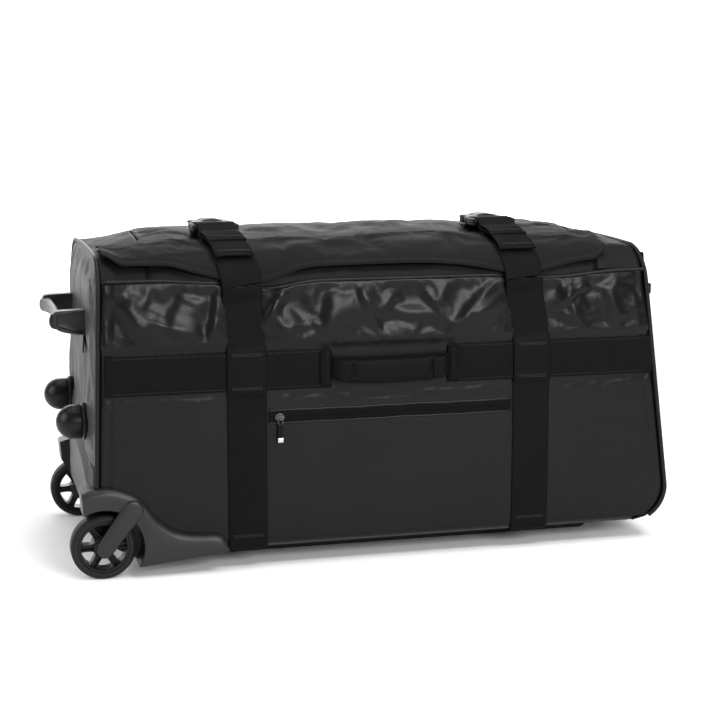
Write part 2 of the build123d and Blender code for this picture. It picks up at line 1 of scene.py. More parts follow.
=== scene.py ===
"""Looks of a wheeled duffel bag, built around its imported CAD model.

Shapes are worked out in millimetres in the model's frame and written to meshes in metres.
+X runs along the bag away from the wheels, -Y is the front and +Z is up.
"""
import math
import bmesh
import bpy
import numpy as np
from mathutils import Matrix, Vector, noise


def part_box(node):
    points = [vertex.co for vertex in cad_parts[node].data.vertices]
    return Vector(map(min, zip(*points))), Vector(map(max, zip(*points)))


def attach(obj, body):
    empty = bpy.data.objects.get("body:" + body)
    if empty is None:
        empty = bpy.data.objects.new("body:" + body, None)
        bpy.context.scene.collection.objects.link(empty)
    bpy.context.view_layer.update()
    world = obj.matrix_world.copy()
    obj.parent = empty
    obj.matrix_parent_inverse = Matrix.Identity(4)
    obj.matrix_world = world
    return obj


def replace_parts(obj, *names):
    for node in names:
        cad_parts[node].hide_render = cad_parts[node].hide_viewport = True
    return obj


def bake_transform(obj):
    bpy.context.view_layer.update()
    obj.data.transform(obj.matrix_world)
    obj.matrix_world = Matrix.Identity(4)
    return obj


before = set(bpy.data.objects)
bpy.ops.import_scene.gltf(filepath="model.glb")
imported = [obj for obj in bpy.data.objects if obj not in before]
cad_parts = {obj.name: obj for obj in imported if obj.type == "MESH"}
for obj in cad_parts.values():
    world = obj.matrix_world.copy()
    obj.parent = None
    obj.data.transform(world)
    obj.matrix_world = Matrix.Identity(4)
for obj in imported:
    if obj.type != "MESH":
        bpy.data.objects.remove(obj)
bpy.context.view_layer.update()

MM = 0.001
FRONT, BACK = -1, 1
SIDES = {FRONT: "front", BACK: "back"}


def span(node):
    """Give a CAD node's lowest and highest corner in millimetres."""
    low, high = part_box(node)
    return np.array(low) / MM, np.array(high) / MM


def middle(node):
    """Give the middle of a CAD node's box in millimetres."""
    low, high = span(node)
    return (low + high) / 2


# ------------------------------------------------------------------ meshes


def piece(name, points, faces, finish, body, slot_name=None):
    """Make a mesh piece from points in millimetres, and let it ride on a body."""
    mesh = bpy.data.meshes.new(name)
    mesh.from_pydata([tuple(p) for p in np.asarray(points, float) * MM], [], faces)
    mesh.validate()
    work = bmesh.new()
    work.from_mesh(mesh)
    bmesh.ops.recalc_face_normals(work, faces=work.faces)
    work.to_mesh(mesh)
    work.free()
    mesh.polygons.foreach_set("use_smooth", [True] * len(mesh.polygons))
    made = bpy.data.objects.new(name, mesh)
    bpy.context.scene.collection.objects.link(made)
    mesh.materials.append(finish)
    if body:
        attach(made, body)
    return made


def grid_faces(rows, columns, first=0, wrap=False):
    """List the quads of a grid of points that is stored row by row."""
    faces = []
    for i in range(rows - 1):
        for j in range(columns if wrap else columns - 1):
            k = (j + 1) % columns
            a, b = first + i * columns, first + (i + 1) * columns
            faces.append((a + j, a + k, b + k, b + j))
    return faces


def closed_faces(rows, count):
    """List the quads round a stack of closed rings of points, and the two caps that end the stack."""
    last = (rows - 1) * count
    return [*grid_faces(rows, count, wrap=True), tuple(range(count)), tuple(range(last, last + count))]


def moulding(name, shape, finish, body, slot_name, sharp, node):
    """Make a moulded or turned piece in place of a CAD node; edges sharper than an angle stay crisp."""
    made = piece(name, *shape, finish, body, slot_name)
    made.data.set_sharp_from_angle(angle=math.radians(sharp))
    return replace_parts(made, node)


def thicken(thing, thickness, inward=True):
    """Give a sheet its real thickness, on the inner side of its normals."""
    solid = thing.modifiers.new("thickness", "SOLIDIFY")
    solid.thickness = thickness * MM
    solid.offset = -1 if inward else 1
    return thing


def rounded(thing, width):
    """Round the sharp edges of a rigid piece."""
    bevel = thing.modifiers.new("rounding", "BEVEL")
    bevel.width = width * MM
    bevel.segments = 2
    bevel.limit_method = "ANGLE"
    bevel.angle_limit = math.radians(35)


def frames_along(path):
    """Give each point of a path its direction and two steady directions across it."""
    path = np.asarray(path, float)
    forward = np.gradient(path, axis=0)
    forward /= np.linalg.norm(forward, axis=1)[:, None]
    start = np.array([0, 0, 1.0]) if abs(forward[0][2]) < 0.9 else np.array([1.0, 0, 0])
    side = []
    for f in forward:
        start = start - f * (start @ f)
        start = start / np.linalg.norm(start)
        side.append(start)
    side = np.array(side)
    return path, forward, side, np.cross(forward, side)


def tube(name, path, radius, finish, body, slot_name, segments=10, squash=1.0):
    """Make a round cord of fabric or a rod along a path; radius may vary along it."""
    path, _, side, other = frames_along(path)
    radius = np.broadcast_to(radius, len(path))
    angles = np.linspace(0, 2 * math.pi, segments, endpoint=False)
    points = []
    for p, s, o, r in zip(path, side, other, radius):
        for a in angles:
            points.append(p + r * (math.cos(a) * s + squash * math.sin(a) * o))
    return piece(name, points, closed_faces(len(path), segments), finish, body, slot_name)


def lathe(profile, origin, axis, segments=64):
    """Give points and faces of a closed profile of (distance along, radius) turned round an axis."""
    axis = Vector(axis).normalized()
    across = axis.orthogonal().normalized()
    other = axis.cross(across)
    points, rows = [], len(profile)
    for along, radius in profile:
        for i in range(segments):
            a = 2 * math.pi * i / segments
            p = Vector(origin) + axis * along + (across * math.cos(a) + other * math.sin(a)) * radius
            points.append(tuple(p))
    faces = grid_faces(rows, segments, wrap=True)
    last = (rows - 1) * segments
    faces += [(last + j, last + (j + 1) % segments, (j + 1) % segments, j) for j in range(segments)]
    return points, faces


def join_shapes(shapes):
    """Put several (points, faces) shapes together."""
    points, faces = [], []
    for more_points, more_faces in shapes:
        first = len(points)
        points += [tuple(p) for p in more_points]
        faces += [tuple(i + first for i in f) for f in more_faces]
    return points, faces


def slab(low, high, radius=1.5, steps=3):
    """Give points and faces of a box between two corners with its upright edges rounded."""
    low, high = np.minimum(low, high), np.maximum(low, high)
    radius = min(radius, (high[0] - low[0]) / 2.01, (high[1] - low[1]) / 2.01)
    ring = []
    corners = ((high[0], high[1], 0), (low[0], high[1], 90), (low[0], low[1], 180), (high[0], low[1], 270))
    for cx, cy, turn in corners:
        mx = cx - math.copysign(radius, cx - (low[0] + high[0]) / 2)
        my = cy - math.copysign(radius, cy - (low[1] + high[1]) / 2)
        for i in range(steps + 1):
            a = math.radians(turn + 90 * i / steps)
            ring.append((mx + radius * math.cos(a), my + radius * math.sin(a)))
    edge = min(radius, (high[2] - low[2]) / 2.01, 1.2)
    middle_xy = np.array([(low[0] + high[0]) / 2, (low[1] + high[1]) / 2])
    size = np.array([high[0] - low[0], high[1] - low[1]])
    points = []
    for z, inset in ((low[2], edge), (low[2] + edge, 0), (high[2] - edge, 0), (high[2], edge)):
        scale = 1 - 2 * inset / size
        points += [(*(middle_xy + (np.array(p) - middle_xy) * scale), z) for p in ring]
    return points, closed_faces(4, len(ring))


def smooth_step(low, high, t):
    """Rise from 0 at low to 1 at high."""
    s = np.clip((t - low) / (high - low), 0, 1)
    return s * s * (3 - 2 * s)


def hill(t, centre, width):
    """Give a smooth hill of height 1."""
    return np.exp(-(((t - centre) / width) ** 2))


# ------------------------------------------------------------------ materials


def add(tree, kind, inputs=None, **settings):
    """Add a shader node; inputs are values or the sockets that feed them."""
    made = tree.nodes.new(kind)
    for key, value in settings.items():
        setattr(made, key, value)
    for key, value in (inputs or {}).items():
        if isinstance(value, bpy.types.NodeSocket):
            tree.links.new(value, made.inputs[key])
        else:
            made.inputs[key].default_value = value
    return made


def start_material(name, metallic=0.0, specular=0.5):
    """Start a material; its plain numbers are set on the shader itself."""
    made = bpy.data.materials.new(name)
    made.use_nodes = True
    shader = made.node_tree.nodes["Principled BSDF"]
    shader.inputs["Metallic"].default_value = metallic
    shader.inputs["Specular IOR Level"].default_value = specular
    return made, made.node_tree, shader


def grey(value, tint=0.0):
    """Give a near-neutral colour; a positive tint leans to blue."""
    return (value * (1 - tint), value, value * (1 + tint), 1)


def set_colour(tree, shader, low, high, factor, wear=0.0, tint=0.02):
    """Vary the base colour between two greys, and lighten worn edges."""
    shades = {"Color1": grey(low, tint), "Color2": grey(high, tint)}
    colour = add(tree, "ShaderNodeMixRGB", {"Fac": factor, **shades}).outputs["Color"]
    if wear:
        edge = add(tree, "ShaderNodeNewGeometry").outputs["Pointiness"]
        limits = {"From Min": 0.52, "From Max": 0.62, "To Max": wear}
        worn = add(tree, "ShaderNodeMapRange", {"Value": edge, **limits}).outputs["Result"]
        shades = {"Color1": colour, "Color2": grey(high * 3, tint)}
        colour = add(tree, "ShaderNodeMixRGB", {"Fac": worn, **shades}).outputs["Color"]
    tree.links.new(colour, shader.inputs["Base Color"])


def set_roughness(tree, shader, low, high, factor):
    """Vary the roughness between two values."""
    mapped = add(tree, "ShaderNodeMapRange", {"Value": factor, "To Min": low, "To Max": high})
    tree.links.new(mapped.outputs["Result"], shader.inputs["Roughness"])


def set_bump(tree, shader, heights):
    """Stack bumps: each is a height socket, its strength and its real depth in millimetres."""
    normal = None
    for height, strength, depth in heights:
        inputs = {"Height": height, "Strength": strength, "Distance": depth * MM}
        if normal is not None:
            inputs["Normal"] = normal
        normal = add(tree, "ShaderNodeBump", inputs).outputs["Normal"]
    tree.links.new(normal, shader.inputs["Normal"])


def noise_at(tree, vector, size_mm, detail=3.0, roughness=0.5):
    """Give noise whose blobs are about size_mm across."""
    inputs = {"Vector": vector, "Scale": 1 / (size_mm * MM), "Detail": detail, "Roughness": roughness}
    return add(tree, "ShaderNodeTexNoise", inputs).outputs["Fac"]


def coated_fabric(name, low, high, rough, grain_mm, grain_depth, specular=0.5, sheen=0.0):
    """Make a coated fabric: fine grain, faint threads, cloudy colour and uneven gloss."""
    made, tree, shader = start_material(name, specular=specular)
    at = add(tree, "ShaderNodeTexCoord").outputs["Object"]
    cloud = noise_at(tree, at, 70, detail=5)
    smudge = noise_at(tree, at, 9, detail=4)
    grain = noise_at(tree, at, grain_mm, detail=2)
    set_colour(tree, shader, low, high, cloud)
    set_roughness(tree, shader, rough[0], rough[1], smudge)
    shader.inputs["Sheen Weight"].default_value = sheen
    threads = weave_bump(tree, at, 0.9, 0.25, 0.05)
    set_bump(tree, shader, [(smudge, 0.12, 1.0), (grain, 0.5, grain_depth), threads])
    return made


def weave_bump(tree, at, pitch_mm, strength, depth):
    """Give the small over-and-under bumps of a plain weave."""
    turn = {"Vector": at, "Rotation": (0.6, 0.5, math.pi / 4)}
    turned = add(tree, "ShaderNodeMapping", turn).outputs["Vector"]
    inputs = {"Vector": turned, "Scale": 1 / (pitch_mm * MM)}
    cells = add(tree, "ShaderNodeTexVoronoi", inputs, distance="CHEBYCHEV")
    return cells.outputs["Distance"], strength, depth


def woven_fabric(name, low, high, pitch_mm, specular=0.25):
    """Make a matt woven fabric."""
    made, tree, shader = start_material(name, specular=specular)
    at = add(tree, "ShaderNodeTexCoord").outputs["Object"]
    cloud = noise_at(tree, at, 60, detail=5)
    fluff = noise_at(tree, at, 1.2, detail=2)
    set_colour(tree, shader, low, high, cloud)
    set_roughness(tree, shader, 0.62, 0.85, fluff)
    shader.inputs["Sheen Weight"].default_value = 0.04
    shader.inputs["Sheen Roughness"].default_value = 0.5
    set_bump(tree, shader, [(cloud, 0.2, 1.5), (fluff, 0.3, 0.12), weave_bump(tree, at, pitch_mm, 0.5, 0.12)])
    return made


def ribbed_webbing(name, low, high):
    """Make webbing: threads that cross its ribs, from the strand attribute that each strap carries."""
    made, tree, shader = start_material(name, specular=0.07)
    strand = add(tree, "ShaderNodeAttribute", attribute_name="strand").outputs["Vector"]
    at = add(tree, "ShaderNodeTexCoord").outputs["Object"]
    thread = add(tree, "ShaderNodeMapping", {"Vector": strand, "Scale": (420, 2600, 1)}).outputs["Vector"]
    fibre = add(tree, "ShaderNodeTexNoise", {"Vector": thread, "Scale": 1.0, "Detail": 2.0}).outputs["Fac"]
    knots = add(tree, "ShaderNodeMapping", {"Vector": strand, "Scale": (620, 303, 1)}).outputs["Vector"]
    cells = add(tree, "ShaderNodeTexVoronoi", {"Vector": knots, "Scale": 1.0}).outputs["Distance"]
    cloud = noise_at(tree, at, 40, detail=4)
    set_colour(tree, shader, low, high, fibre)
    set_roughness(tree, shader, 0.5, 0.75, cloud)
    set_bump(tree, shader, [(fibre, 0.5, 0.25), (cells, 0.35, 0.2)])
    return made


def grained_plastic(name, low, high, rough, grain_mm=0.7, specular=0.45, wear=0.25):
    """Make moulded plastic: fine spark-eroded grain, faint flow marks and worn edges."""
    made, tree, shader = start_material(name, specular=specular)
    at = add(tree, "ShaderNodeTexCoord").outputs["Object"]
    flow = noise_at(tree, at, 45, detail=5)
    scuffs = noise_at(tree, at, 6, detail=6, roughness=0.7)
    grain = noise_at(tree, at, grain_mm, detail=1)
    set_colour(tree, shader, low, high, flow, wear=wear)
    set_roughness(tree, shader, rough[0], rough[1], scuffs)
    set_bump(tree, shader, [(scuffs, 0.06, 0.4), (grain, 0.4, 0.12)])
    return made


def brushed_metal(name, value, rough, along=(1, 30, 30), tint=0.01):
    """Make metal with brush marks that run along one axis."""
    made, tree, shader = start_material(name, metallic=1.0)
    at = add(tree, "ShaderNodeTexCoord").outputs["Object"]
    stretched = add(tree, "ShaderNodeMapping", {"Vector": at, "Scale": along}).outputs["Vector"]
    lines = noise_at(tree, stretched, 12, detail=5)
    spots = noise_at(tree, at, 7, detail=4)
    set_colour(tree, shader, value * 0.8, value, spots, tint=tint)
    set_roughness(tree, shader, rough[0], rough[1], lines)
    set_bump(tree, shader, [(lines, 0.15, 0.05)])
    return made


TARPAULIN = coated_fabric("coated tarpaulin", 0.003, 0.005, (0.27, 0.38), 0.8, 0.07, specular=0.14)
# A lighter copy of the coated tarpaulin for the wheel end: its lighter grey is painted light, for the lamp that
# falls on that end.
END_FABRIC_PAINTED_LIGHT = coated_fabric("coated end fabric with painted light", 0.022, 0.034, (0.4, 0.55), 0.9, 0.08, specular=0.4)
FLAP_FABRIC = woven_fabric("matt flap fabric", 0.003, 0.006, 0.7, specular=0.08)
LID_FABRIC = coated_fabric("lid fabric", 0.003, 0.005, (0.5, 0.62), 0.8, 0.06, specular=0.1)
WEBBING = ribbed_webbing("ribbed webbing", 0.001, 0.0035)
THREAD = woven_fabric("bonded thread", 0.012, 0.03, 0.4)
ZIP_CLOTH = woven_fabric("zip tape", 0.001, 0.003, 0.6, specular=0.06)
PULLER_CLOTH = woven_fabric("puller strap", 0.002, 0.005, 0.5, specular=0.08)
PIPING = coated_fabric("piping", 0.004, 0.007, (0.38, 0.5), 1.2, 0.05, specular=0.16)
PLASTIC = grained_plastic("moulded plastic", 0.007, 0.011, (0.34, 0.48), specular=0.3)
BUCKLE = grained_plastic("buckle plastic", 0.002, 0.004, (0.36, 0.48), grain_mm=0.5, specular=0.12)
RUBBER = grained_plastic("dome rubber", 0.003, 0.006, (0.28, 0.4), grain_mm=0.6, wear=0.1, specular=0.18)
TYRE = grained_plastic("tyre rubber", 0.004, 0.007, (0.42, 0.6), grain_mm=0.9, wear=0.1, specular=0.2)
SCUFF = grained_plastic("scuff mesh", 0.014, 0.022, (0.4, 0.55), grain_mm=1.1, specular=0.35)
STEEL = brushed_metal("axle steel", 0.5, (0.25, 0.4))
GUNMETAL = brushed_metal("zip metal", 0.09, (0.28, 0.42))
TIP_METAL = brushed_metal("puller tip", 0.5, (0.3, 0.42))
ALUMINIUM = brushed_metal("tube aluminium", 0.45, (0.22, 0.36))

# ------------------------------------------------------------------ the bag's surface

front_low, front_high = span("front_panel")
lid_high = span("lid_panel")[1]

HALF = -front_low[1]  # half the bag's depth
FLOOR_Z = front_low[2]
SEAM_Z = front_high[2]
CROWN = lid_high[2]  # the lid's highest line, and its end's
END_CROWN = 397.0
LID_HALF = lid_high[0]
ARCH_MIDDLE, ARCH_END = 30.3, 5.0  # how far the crown drops from its middle line to the plane of a side
SHOULDER = 45.0  # radius between the crown and a side
SHOULDER_Z = CROWN - 62.7  # where a side starts to roll in
WHEEL_TOP_X, WHEEL_LOW_X, WHEEL_CORNER = span("wheel_end_gusset")[0][0], front_low[0], 40.0
HANDLE_TOP_X, HANDLE_LOW_X = span("handle_end_gusset")[1][0], span("handle_end_panel")[1][0]
HANDLE_CORNER = 45.0
STRAPS = {side: middle(f"front_strap_{side}")[0] for side in ("wheel_side", "handle_side")}
BAND_Z = 252.0  # middle height of the carry band
AXLE = middle("wheel_axle_front")


def wheel_edge(z):
    """Give the x of the wheel end's outer face at height z."""
    corner_z = FLOOR_Z + WHEEL_CORNER
    straight = WHEEL_TOP_X - (END_CROWN - z) / (END_CROWN - corner_z) * (WHEEL_TOP_X - WHEEL_LOW_X)
    drop = np.clip(corner_z - z, 0, WHEEL_CORNER)
    curved = WHEEL_LOW_X + WHEEL_CORNER - np.sqrt(WHEEL_CORNER**2 - drop**2)
    return np.where(drop > 0, curved, straight)


def handle_edge(z):
    """Give the x of the handle end's outer face at height z."""
    corner_z = FLOOR_Z + HANDLE_CORNER
    straight = HANDLE_TOP_X + (END_CROWN - z) / (END_CROWN - corner_z) * (HANDLE_LOW_X - HANDLE_TOP_X)
    drop = np.clip(corner_z - z, 0, HANDLE_CORNER)
    curved = HANDLE_LOW_X - HANDLE_CORNER + np.sqrt(HANDLE_CORNER**2 - drop**2)
    return np.where(drop > 0, curved, straight)


def taper(x):
    """Give 0 over the lid's length, rising to 1 at the bag's two ends."""
    to_wheels = (-LID_HALF - x) / (-LID_HALF - WHEEL_TOP_X)
    to_handle = (x - LID_HALF) / (HANDLE_TOP_X - LID_HALF)
    return np.clip(np.where(x < 0, to_wheels, to_handle), 0, 1)


def fill(x, s):
    """Give how far the stuffed top stands proud of its plain crown; straps hold it down."""
    along = 5.0 * hill(x, 70, 75) - 3.0 * hill(x, 200, 50) - 2.0 * hill(x, -185, 45)
    along = along + 1.5 * hill(x, -95, 50)
    across = hill(s, -60, 95)
    return along * across * (1 - taper(x))


def over_top(x, s, out=0.0):
    """Give the point at arc length s across the top from the crest, and out from the shell.

    s < 0 is the front.
    """
    x, s = np.broadcast_arrays(np.asarray(x, float), np.asarray(s, float))
    ramp = taper(x)
    crown = CROWN - (CROWN - END_CROWN) * ramp
    arch = ARCH_MIDDLE - (ARCH_MIDDLE - ARCH_END) * ramp
    centre_y = HALF - SHOULDER
    tilt = np.arctan(2 * arch * (centre_y + 11 * (1 - ramp)) / HALF**2)
    tangent_y = centre_y + SHOULDER * np.sin(tilt)
    centre_z = crown - arch * (tangent_y / HALF) ** 2 - SHOULDER * np.cos(tilt)
    flat = tangent_y * 1.012
    bend = SHOULDER * (math.pi / 2 - tilt)
    distance = np.abs(s)
    side = np.where(s < 0, -1.0, 1.0)
    on_crown = distance <= flat
    y_crown = distance * tangent_y / flat
    turn = np.clip((distance - flat) / SHOULDER, 0, bend / SHOULDER)
    angle = math.pi / 2 - tilt - turn
    below = np.clip(distance - flat - bend, 0, None)
    slope = 2 * arch * y_crown / HALF**2
    length = np.sqrt(1 + slope**2)
    y = np.where(on_crown, y_crown, centre_y + SHOULDER * np.cos(angle))
    z = np.where(on_crown, crown - arch * (y_crown / HALF) ** 2, centre_z + SHOULDER * np.sin(angle) - below)
    normal_y = np.where(on_crown, slope / length, np.cos(angle))
    normal_z = np.where(on_crown, 1 / length, np.sin(angle))
    reach = out + fill(x, s)
    return np.stack([x, side * (y + normal_y * reach), z + normal_z * reach], -1)


def top_out(x, s):
    """Give the direction out from the top at an arc length."""
    return over_top(x, s, 1.0) - over_top(x, s, 0.0)


def arc_at(z, x=0.0):
    """Give the arc length down the shoulder to where the shell is at height z."""
    ramp = float(taper(np.asarray(x, float)))
    arch = ARCH_MIDDLE - (ARCH_MIDDLE - ARCH_END) * ramp
    crown = CROWN - (CROWN - END_CROWN) * ramp
    centre_y = HALF - SHOULDER
    tilt = math.atan(2 * arch * (centre_y + 11 * (1 - ramp)) / HALF**2)
    tangent_y = centre_y + SHOULDER * math.sin(tilt)
    centre_z = crown - arch * (tangent_y / HALF) ** 2 - SHOULDER * math.cos(tilt)
    angle = math.asin(np.clip((z - centre_z) / SHOULDER, -0.999, math.cos(tilt)))
    extra = max(0.0, centre_z - SHOULDER * 0.999 - z)
    return tangent_y * 1.012 + SHOULDER * (math.pi / 2 - tilt - angle) + extra


def seam_height(x):
    """Give the height of the seam along the front's top edge, pulled down beside the straps."""
    pulled = 8.0 * hill(x, STRAPS["wheel_side"] + 30, 36) + 5.0 * hill(x, STRAPS["handle_side"] + 25, 50)
    lifted = 1.0 + 4.5 * smooth_step(-200, -290, x) + 1.5 * smooth_step(270, 330, x)
    return SEAM_Z + lifted - pulled


def strap_lean(x_strap, z):
    """Give how far a front strap leans over at height z."""
    lean = -5.0 if x_strap < 0 else -14.0
    return lean * smooth_step(BAND_Z + 10, SEAM_Z + 5, z)


def fold(x, z, start, end, height, sharp, soft):
    """Give the height of a fold in the fabric along a line: sharp on one side and soft on the other."""
    start, end = np.array(start, float), np.array(end, float)
    run = end - start
    length = np.linalg.norm(run)
    t = ((x - start[0]) * run[0] + (z - start[1]) * run[1]) / length**2
    off = ((x - start[0]) * run[1] - (z - start[1]) * run[0]) / length
    inside = np.clip(t, 0, 1)
    beyond = np.abs(t - inside) * length
    profile = np.where(off > 0, np.exp(-((off / sharp) ** 2)), np.exp(-((off / soft) ** 2)))
    return height * profile * np.sin(math.pi * (0.1 + 0.8 * inside)) * np.exp(-((beyond / soft) ** 2))


def folds(x, z, table):
    """Add up folds: each row has a start, an end, a height and the widths of its sharp and soft sides."""
    return sum(fold(x, z, *row) for row in table)


def lumps(x, z, size, seed):
    """Give gentle seeded unevenness between -1 and 1."""
    flat_x, flat_z = np.ravel(x), np.ravel(z)
    values = [noise.noise(Vector((a / size, b / size, seed))) for a, b in zip(flat_x, flat_z)]
    return np.array(values).reshape(np.shape(x))


def band_hold(z):
    """Give 0 where the band holds the fabric in, rising to 1 away from it."""
    return 1 - hill(z, BAND_Z, 34)


def strap_hold(x):
    """Give 0 where the straps hold the fabric in, rising to 1 away from them."""
    held = 1.0
    for strap_x in STRAPS.values():
        held = held * (1 - hill(x, strap_x, 34))
    return held


# Creases on the front above the band, as places (x, z), heights and widths
FRONT_CREASES = (
    ((-338, 352), (-258, 268), 3.2, 9, 26), ((-325, 345), (-300, 285), 2.4, 8, 20),
    ((-282, 318), (-225, 284), 3.4, 5, 16), ((-300, 336), (-262, 318), -2.2, 6, 14),
    ((-207, 348), (-216, 285), 3.0, 5, 16), ((-133, 341), (-150, 312), 3.8, 4, 12),
    ((-131, 338), (-118, 352), 2.2, 4, 12), ((-146, 312), (-88, 282), 3.0, 7, 22),
    ((-144, 302), (-104, 306), 2.0, 4, 14), ((-60, 350), (-70, 292), 2.2, 10, 26),
    ((-28, 352), (-14, 322), 3.0, 6, 16), ((-12, 324), (14, 318), 2.0, 5, 12),
    ((60, 345), (96, 300), 2.2, 9, 26), ((150, 352), (84, 284), 3.4, 8, 30),
    ((152, 332), (118, 312), 2.4, 5, 16), ((232, 318), (262, 340), 3.6, 4, 12),
    ((262, 342), (282, 344), 2.4, 4, 12), ((233, 312), (266, 300), 2.8, 4, 14),
    ((240, 352), (268, 296), 2.2, 6, 20), ((300, 350), (324, 290), 2.4, 9, 24),
)
# Soft creases by the handle end, below the pocket
LOW_CREASES = (((250, 150), (330, 158), 0.8, 3, 9), ((240, 118), (330, 128), 0.7, 3, 10))


def front_out(x, z):
    """Give how far the front stands out from its plain plane."""
    above = smooth_step(BAND_Z + 24, BAND_Z + 60, z) * smooth_step(SEAM_Z + 2, SEAM_Z - 14, z)
    belly = 1.6 * strap_hold(x) * band_hold(z) * smooth_step(FLOOR_Z, FLOOR_Z + 60, z)
    low_wave = 0.7 * lumps(x, z, 60, 3.1) * strap_hold(x) * band_hold(z)
    fine = above * (1.3 * lumps(x, z, 26, 8.7) + 0.7 * lumps(x + 0.6 * z, z, 13, 5.2))
    lean = smooth_step(BAND_Z + 24, BAND_Z + 38, z) * np.clip((SEAM_Z - z) / (SEAM_Z - BAND_Z - 38), 0, 1)
    slack = belly * (1 - 0.7 * above) + 6.0 * lean * strap_hold(x) - 1.2 * above
    creases = 1.6 * above * folds(x, z, FRONT_CREASES) + folds(x, z, LOW_CREASES)
    return slack + low_wave + fine + creases


def front_y(x, z):
    """Give the distance of the front's surface from the middle plane."""
    return HALF + front_out(x, z)


def side_y(x, z, side):
    """Give the distance of a side from the middle plane, rolled in above its shoulder.

    The back has the front's creases in mirrored places, a little closer together.
    """
    over = np.clip((z - SHOULDER_Z) / SHOULDER, 0, 0.99)
    return front_y(x if side == FRONT else -0.8 * x + 20, z) - SHOULDER * (1 - np.sqrt(1 - over**2))


# Points (x, z) on the outline of a wheel housing's side: an arch, then a long low tail
HOUSING_POINTS = (
    (-379, 110), (-366, 113.8), (-347, 115.5), (-326, 110), (-306, 99), (-284, 71),
    (-255, 52.5), (-212, 48), (-201, 41), (-198.4, 31),
)
TAIL_UNDER = (-201, 26.6)
TAIL_START = (-306, 15)


def curve_through(points, count=12):
    """Give a smooth line through a few points in a plane."""
    points = [np.array(p, float) for p in points]
    padded = [2 * points[0] - points[1], *points, 2 * points[-1] - points[-2]]
    line = []
    for a, b, c, d in zip(padded, padded[1:], padded[2:], padded[3:]):
        for i in range(count):
            t = i / count
            bend, twist = 2 * a - 5 * b + 4 * c - d, 3 * b - a - 3 * c + d
            line.append(0.5 * (2 * b + (c - a) * t + bend * t**2 + twist * t**3))
    return np.array([*line, points[-1]])


def inside_outline(outline, x, z):
    """Say whether points lie inside a closed outline."""
    inside = np.zeros(np.shape(x), bool)
    for (x1, z1), (x2, z2) in zip(outline, np.roll(outline, -1, axis=0)):
        crosses = (z1 > z) != (z2 > z)
        at = x1 + (z - z1) / (z2 - z1 if z2 != z1 else 1e-9) * (x2 - x1)
        inside ^= crosses & (x < at)
    return inside


HOUSING_TOP = curve_through(HOUSING_POINTS)
HOUSING_CUT = np.vstack([HOUSING_TOP + (-3, -5), [(-198, 10), (-420, 10), (-420, 105)]])


def cut_for_wheels(thing, depth):
    """Remove the fabric that lies behind the wheel housings, further out than a depth."""
    work = bmesh.new()
    work.from_mesh(thing.data)
    centres = np.array([f.calc_center_median() for f in work.faces]) / MM
    hidden = inside_outline(HOUSING_CUT, centres[:, 0], centres[:, 2]) & (np.abs(centres[:, 1]) > depth)
    bmesh.ops.delete(work, geom=[f for f, gone in zip(list(work.faces), hidden) if gone], context="FACES")
    work.to_mesh(thing.data)
    work.free()


def cut_for_handle(thing):
    """Remove the faces of a mesh that lie where the trolley handle's bezel is set in."""
    low, high = span("handle_bezel")
    inset = 2.5 * MM
    low, high = low * MM + inset, high * MM - inset
    work = bmesh.new()
    work.from_mesh(thing.data)
    for axis, place in ((1, low[1]), (1, high[1]), (2, low[2]), (2, high[2])):
        normal = np.eye(3)[axis]
        everything = [*work.verts, *work.edges, *work.faces]
        bmesh.ops.bisect_plane(work, geom=everything, plane_co=normal * place, plane_no=normal)
    gone = []
    for face in work.faces:
        at = face.calc_center_median()
        if abs(at.y) < high[1] and low[2] < at.z < high[2]:
            gone.append(face)
    bmesh.ops.delete(work, geom=gone, context="FACES")
    work.to_mesh(thing.data)
    work.free()


def settle(thing, held, pressure=0.3, slack=0.02, frames=18, cap=5.0, bending=0.4):
    """Let cloth with a little spare material wrinkle between the points that hold it, and keep that shape.

    pressure and bending are the cloth's settings, slack is its spare share, and cap is the furthest that a
    point may move, in millimetres.
    """
    mesh = thing.data
    rest = np.zeros(len(mesh.vertices) * 3)
    mesh.vertices.foreach_get("co", rest)
    rest = rest.reshape(-1, 3)
    pins = thing.vertex_groups.new(name="held")
    for index, weight in enumerate(held):
        if weight > 0.01:
            pins.add([index], float(weight), "REPLACE")
    cloth = thing.modifiers.new("cloth", "CLOTH")
    cloth.settings.vertex_group_mass = "held"
    cloth.settings.pin_stiffness = 2
    cloth.settings.shrink_min = -slack
    cloth.settings.quality = 5
    cloth.settings.bending_stiffness = bending
    cloth.settings.use_pressure = True
    cloth.settings.uniform_pressure_force = pressure
    cloth.settings.effector_weights.gravity = 0
    cloth.collision_settings.use_collision = False
    cloth.point_cache.frame_start = 1
    cloth.point_cache.frame_end = frames
    scene = bpy.context.scene
    for number in range(1, frames + 1):
        scene.frame_set(number)
    shaped = thing.evaluated_get(bpy.context.evaluated_depsgraph_get())
    moved = np.zeros(len(rest) * 3)
    shaped.data.vertices.foreach_get("co", moved)
    shift = moved.reshape(-1, 3) - rest
    size = np.linalg.norm(shift, axis=1)
    limit = cap * MM
    shift *= (limit * np.tanh(size / limit) / np.maximum(size, 1e-9))[:, None]
    thing.modifiers.remove(cloth)
    thing.vertex_groups.clear()
    mesh.vertices.foreach_set("co", (rest + shift).ravel())
    mesh.update()
    scene.frame_set(1)


def spaced(low, high, step):
    """Give evenly spaced values from low to high, about a step apart."""
    return np.linspace(low, high, max(2, int(round((high - low) / step)) + 1))


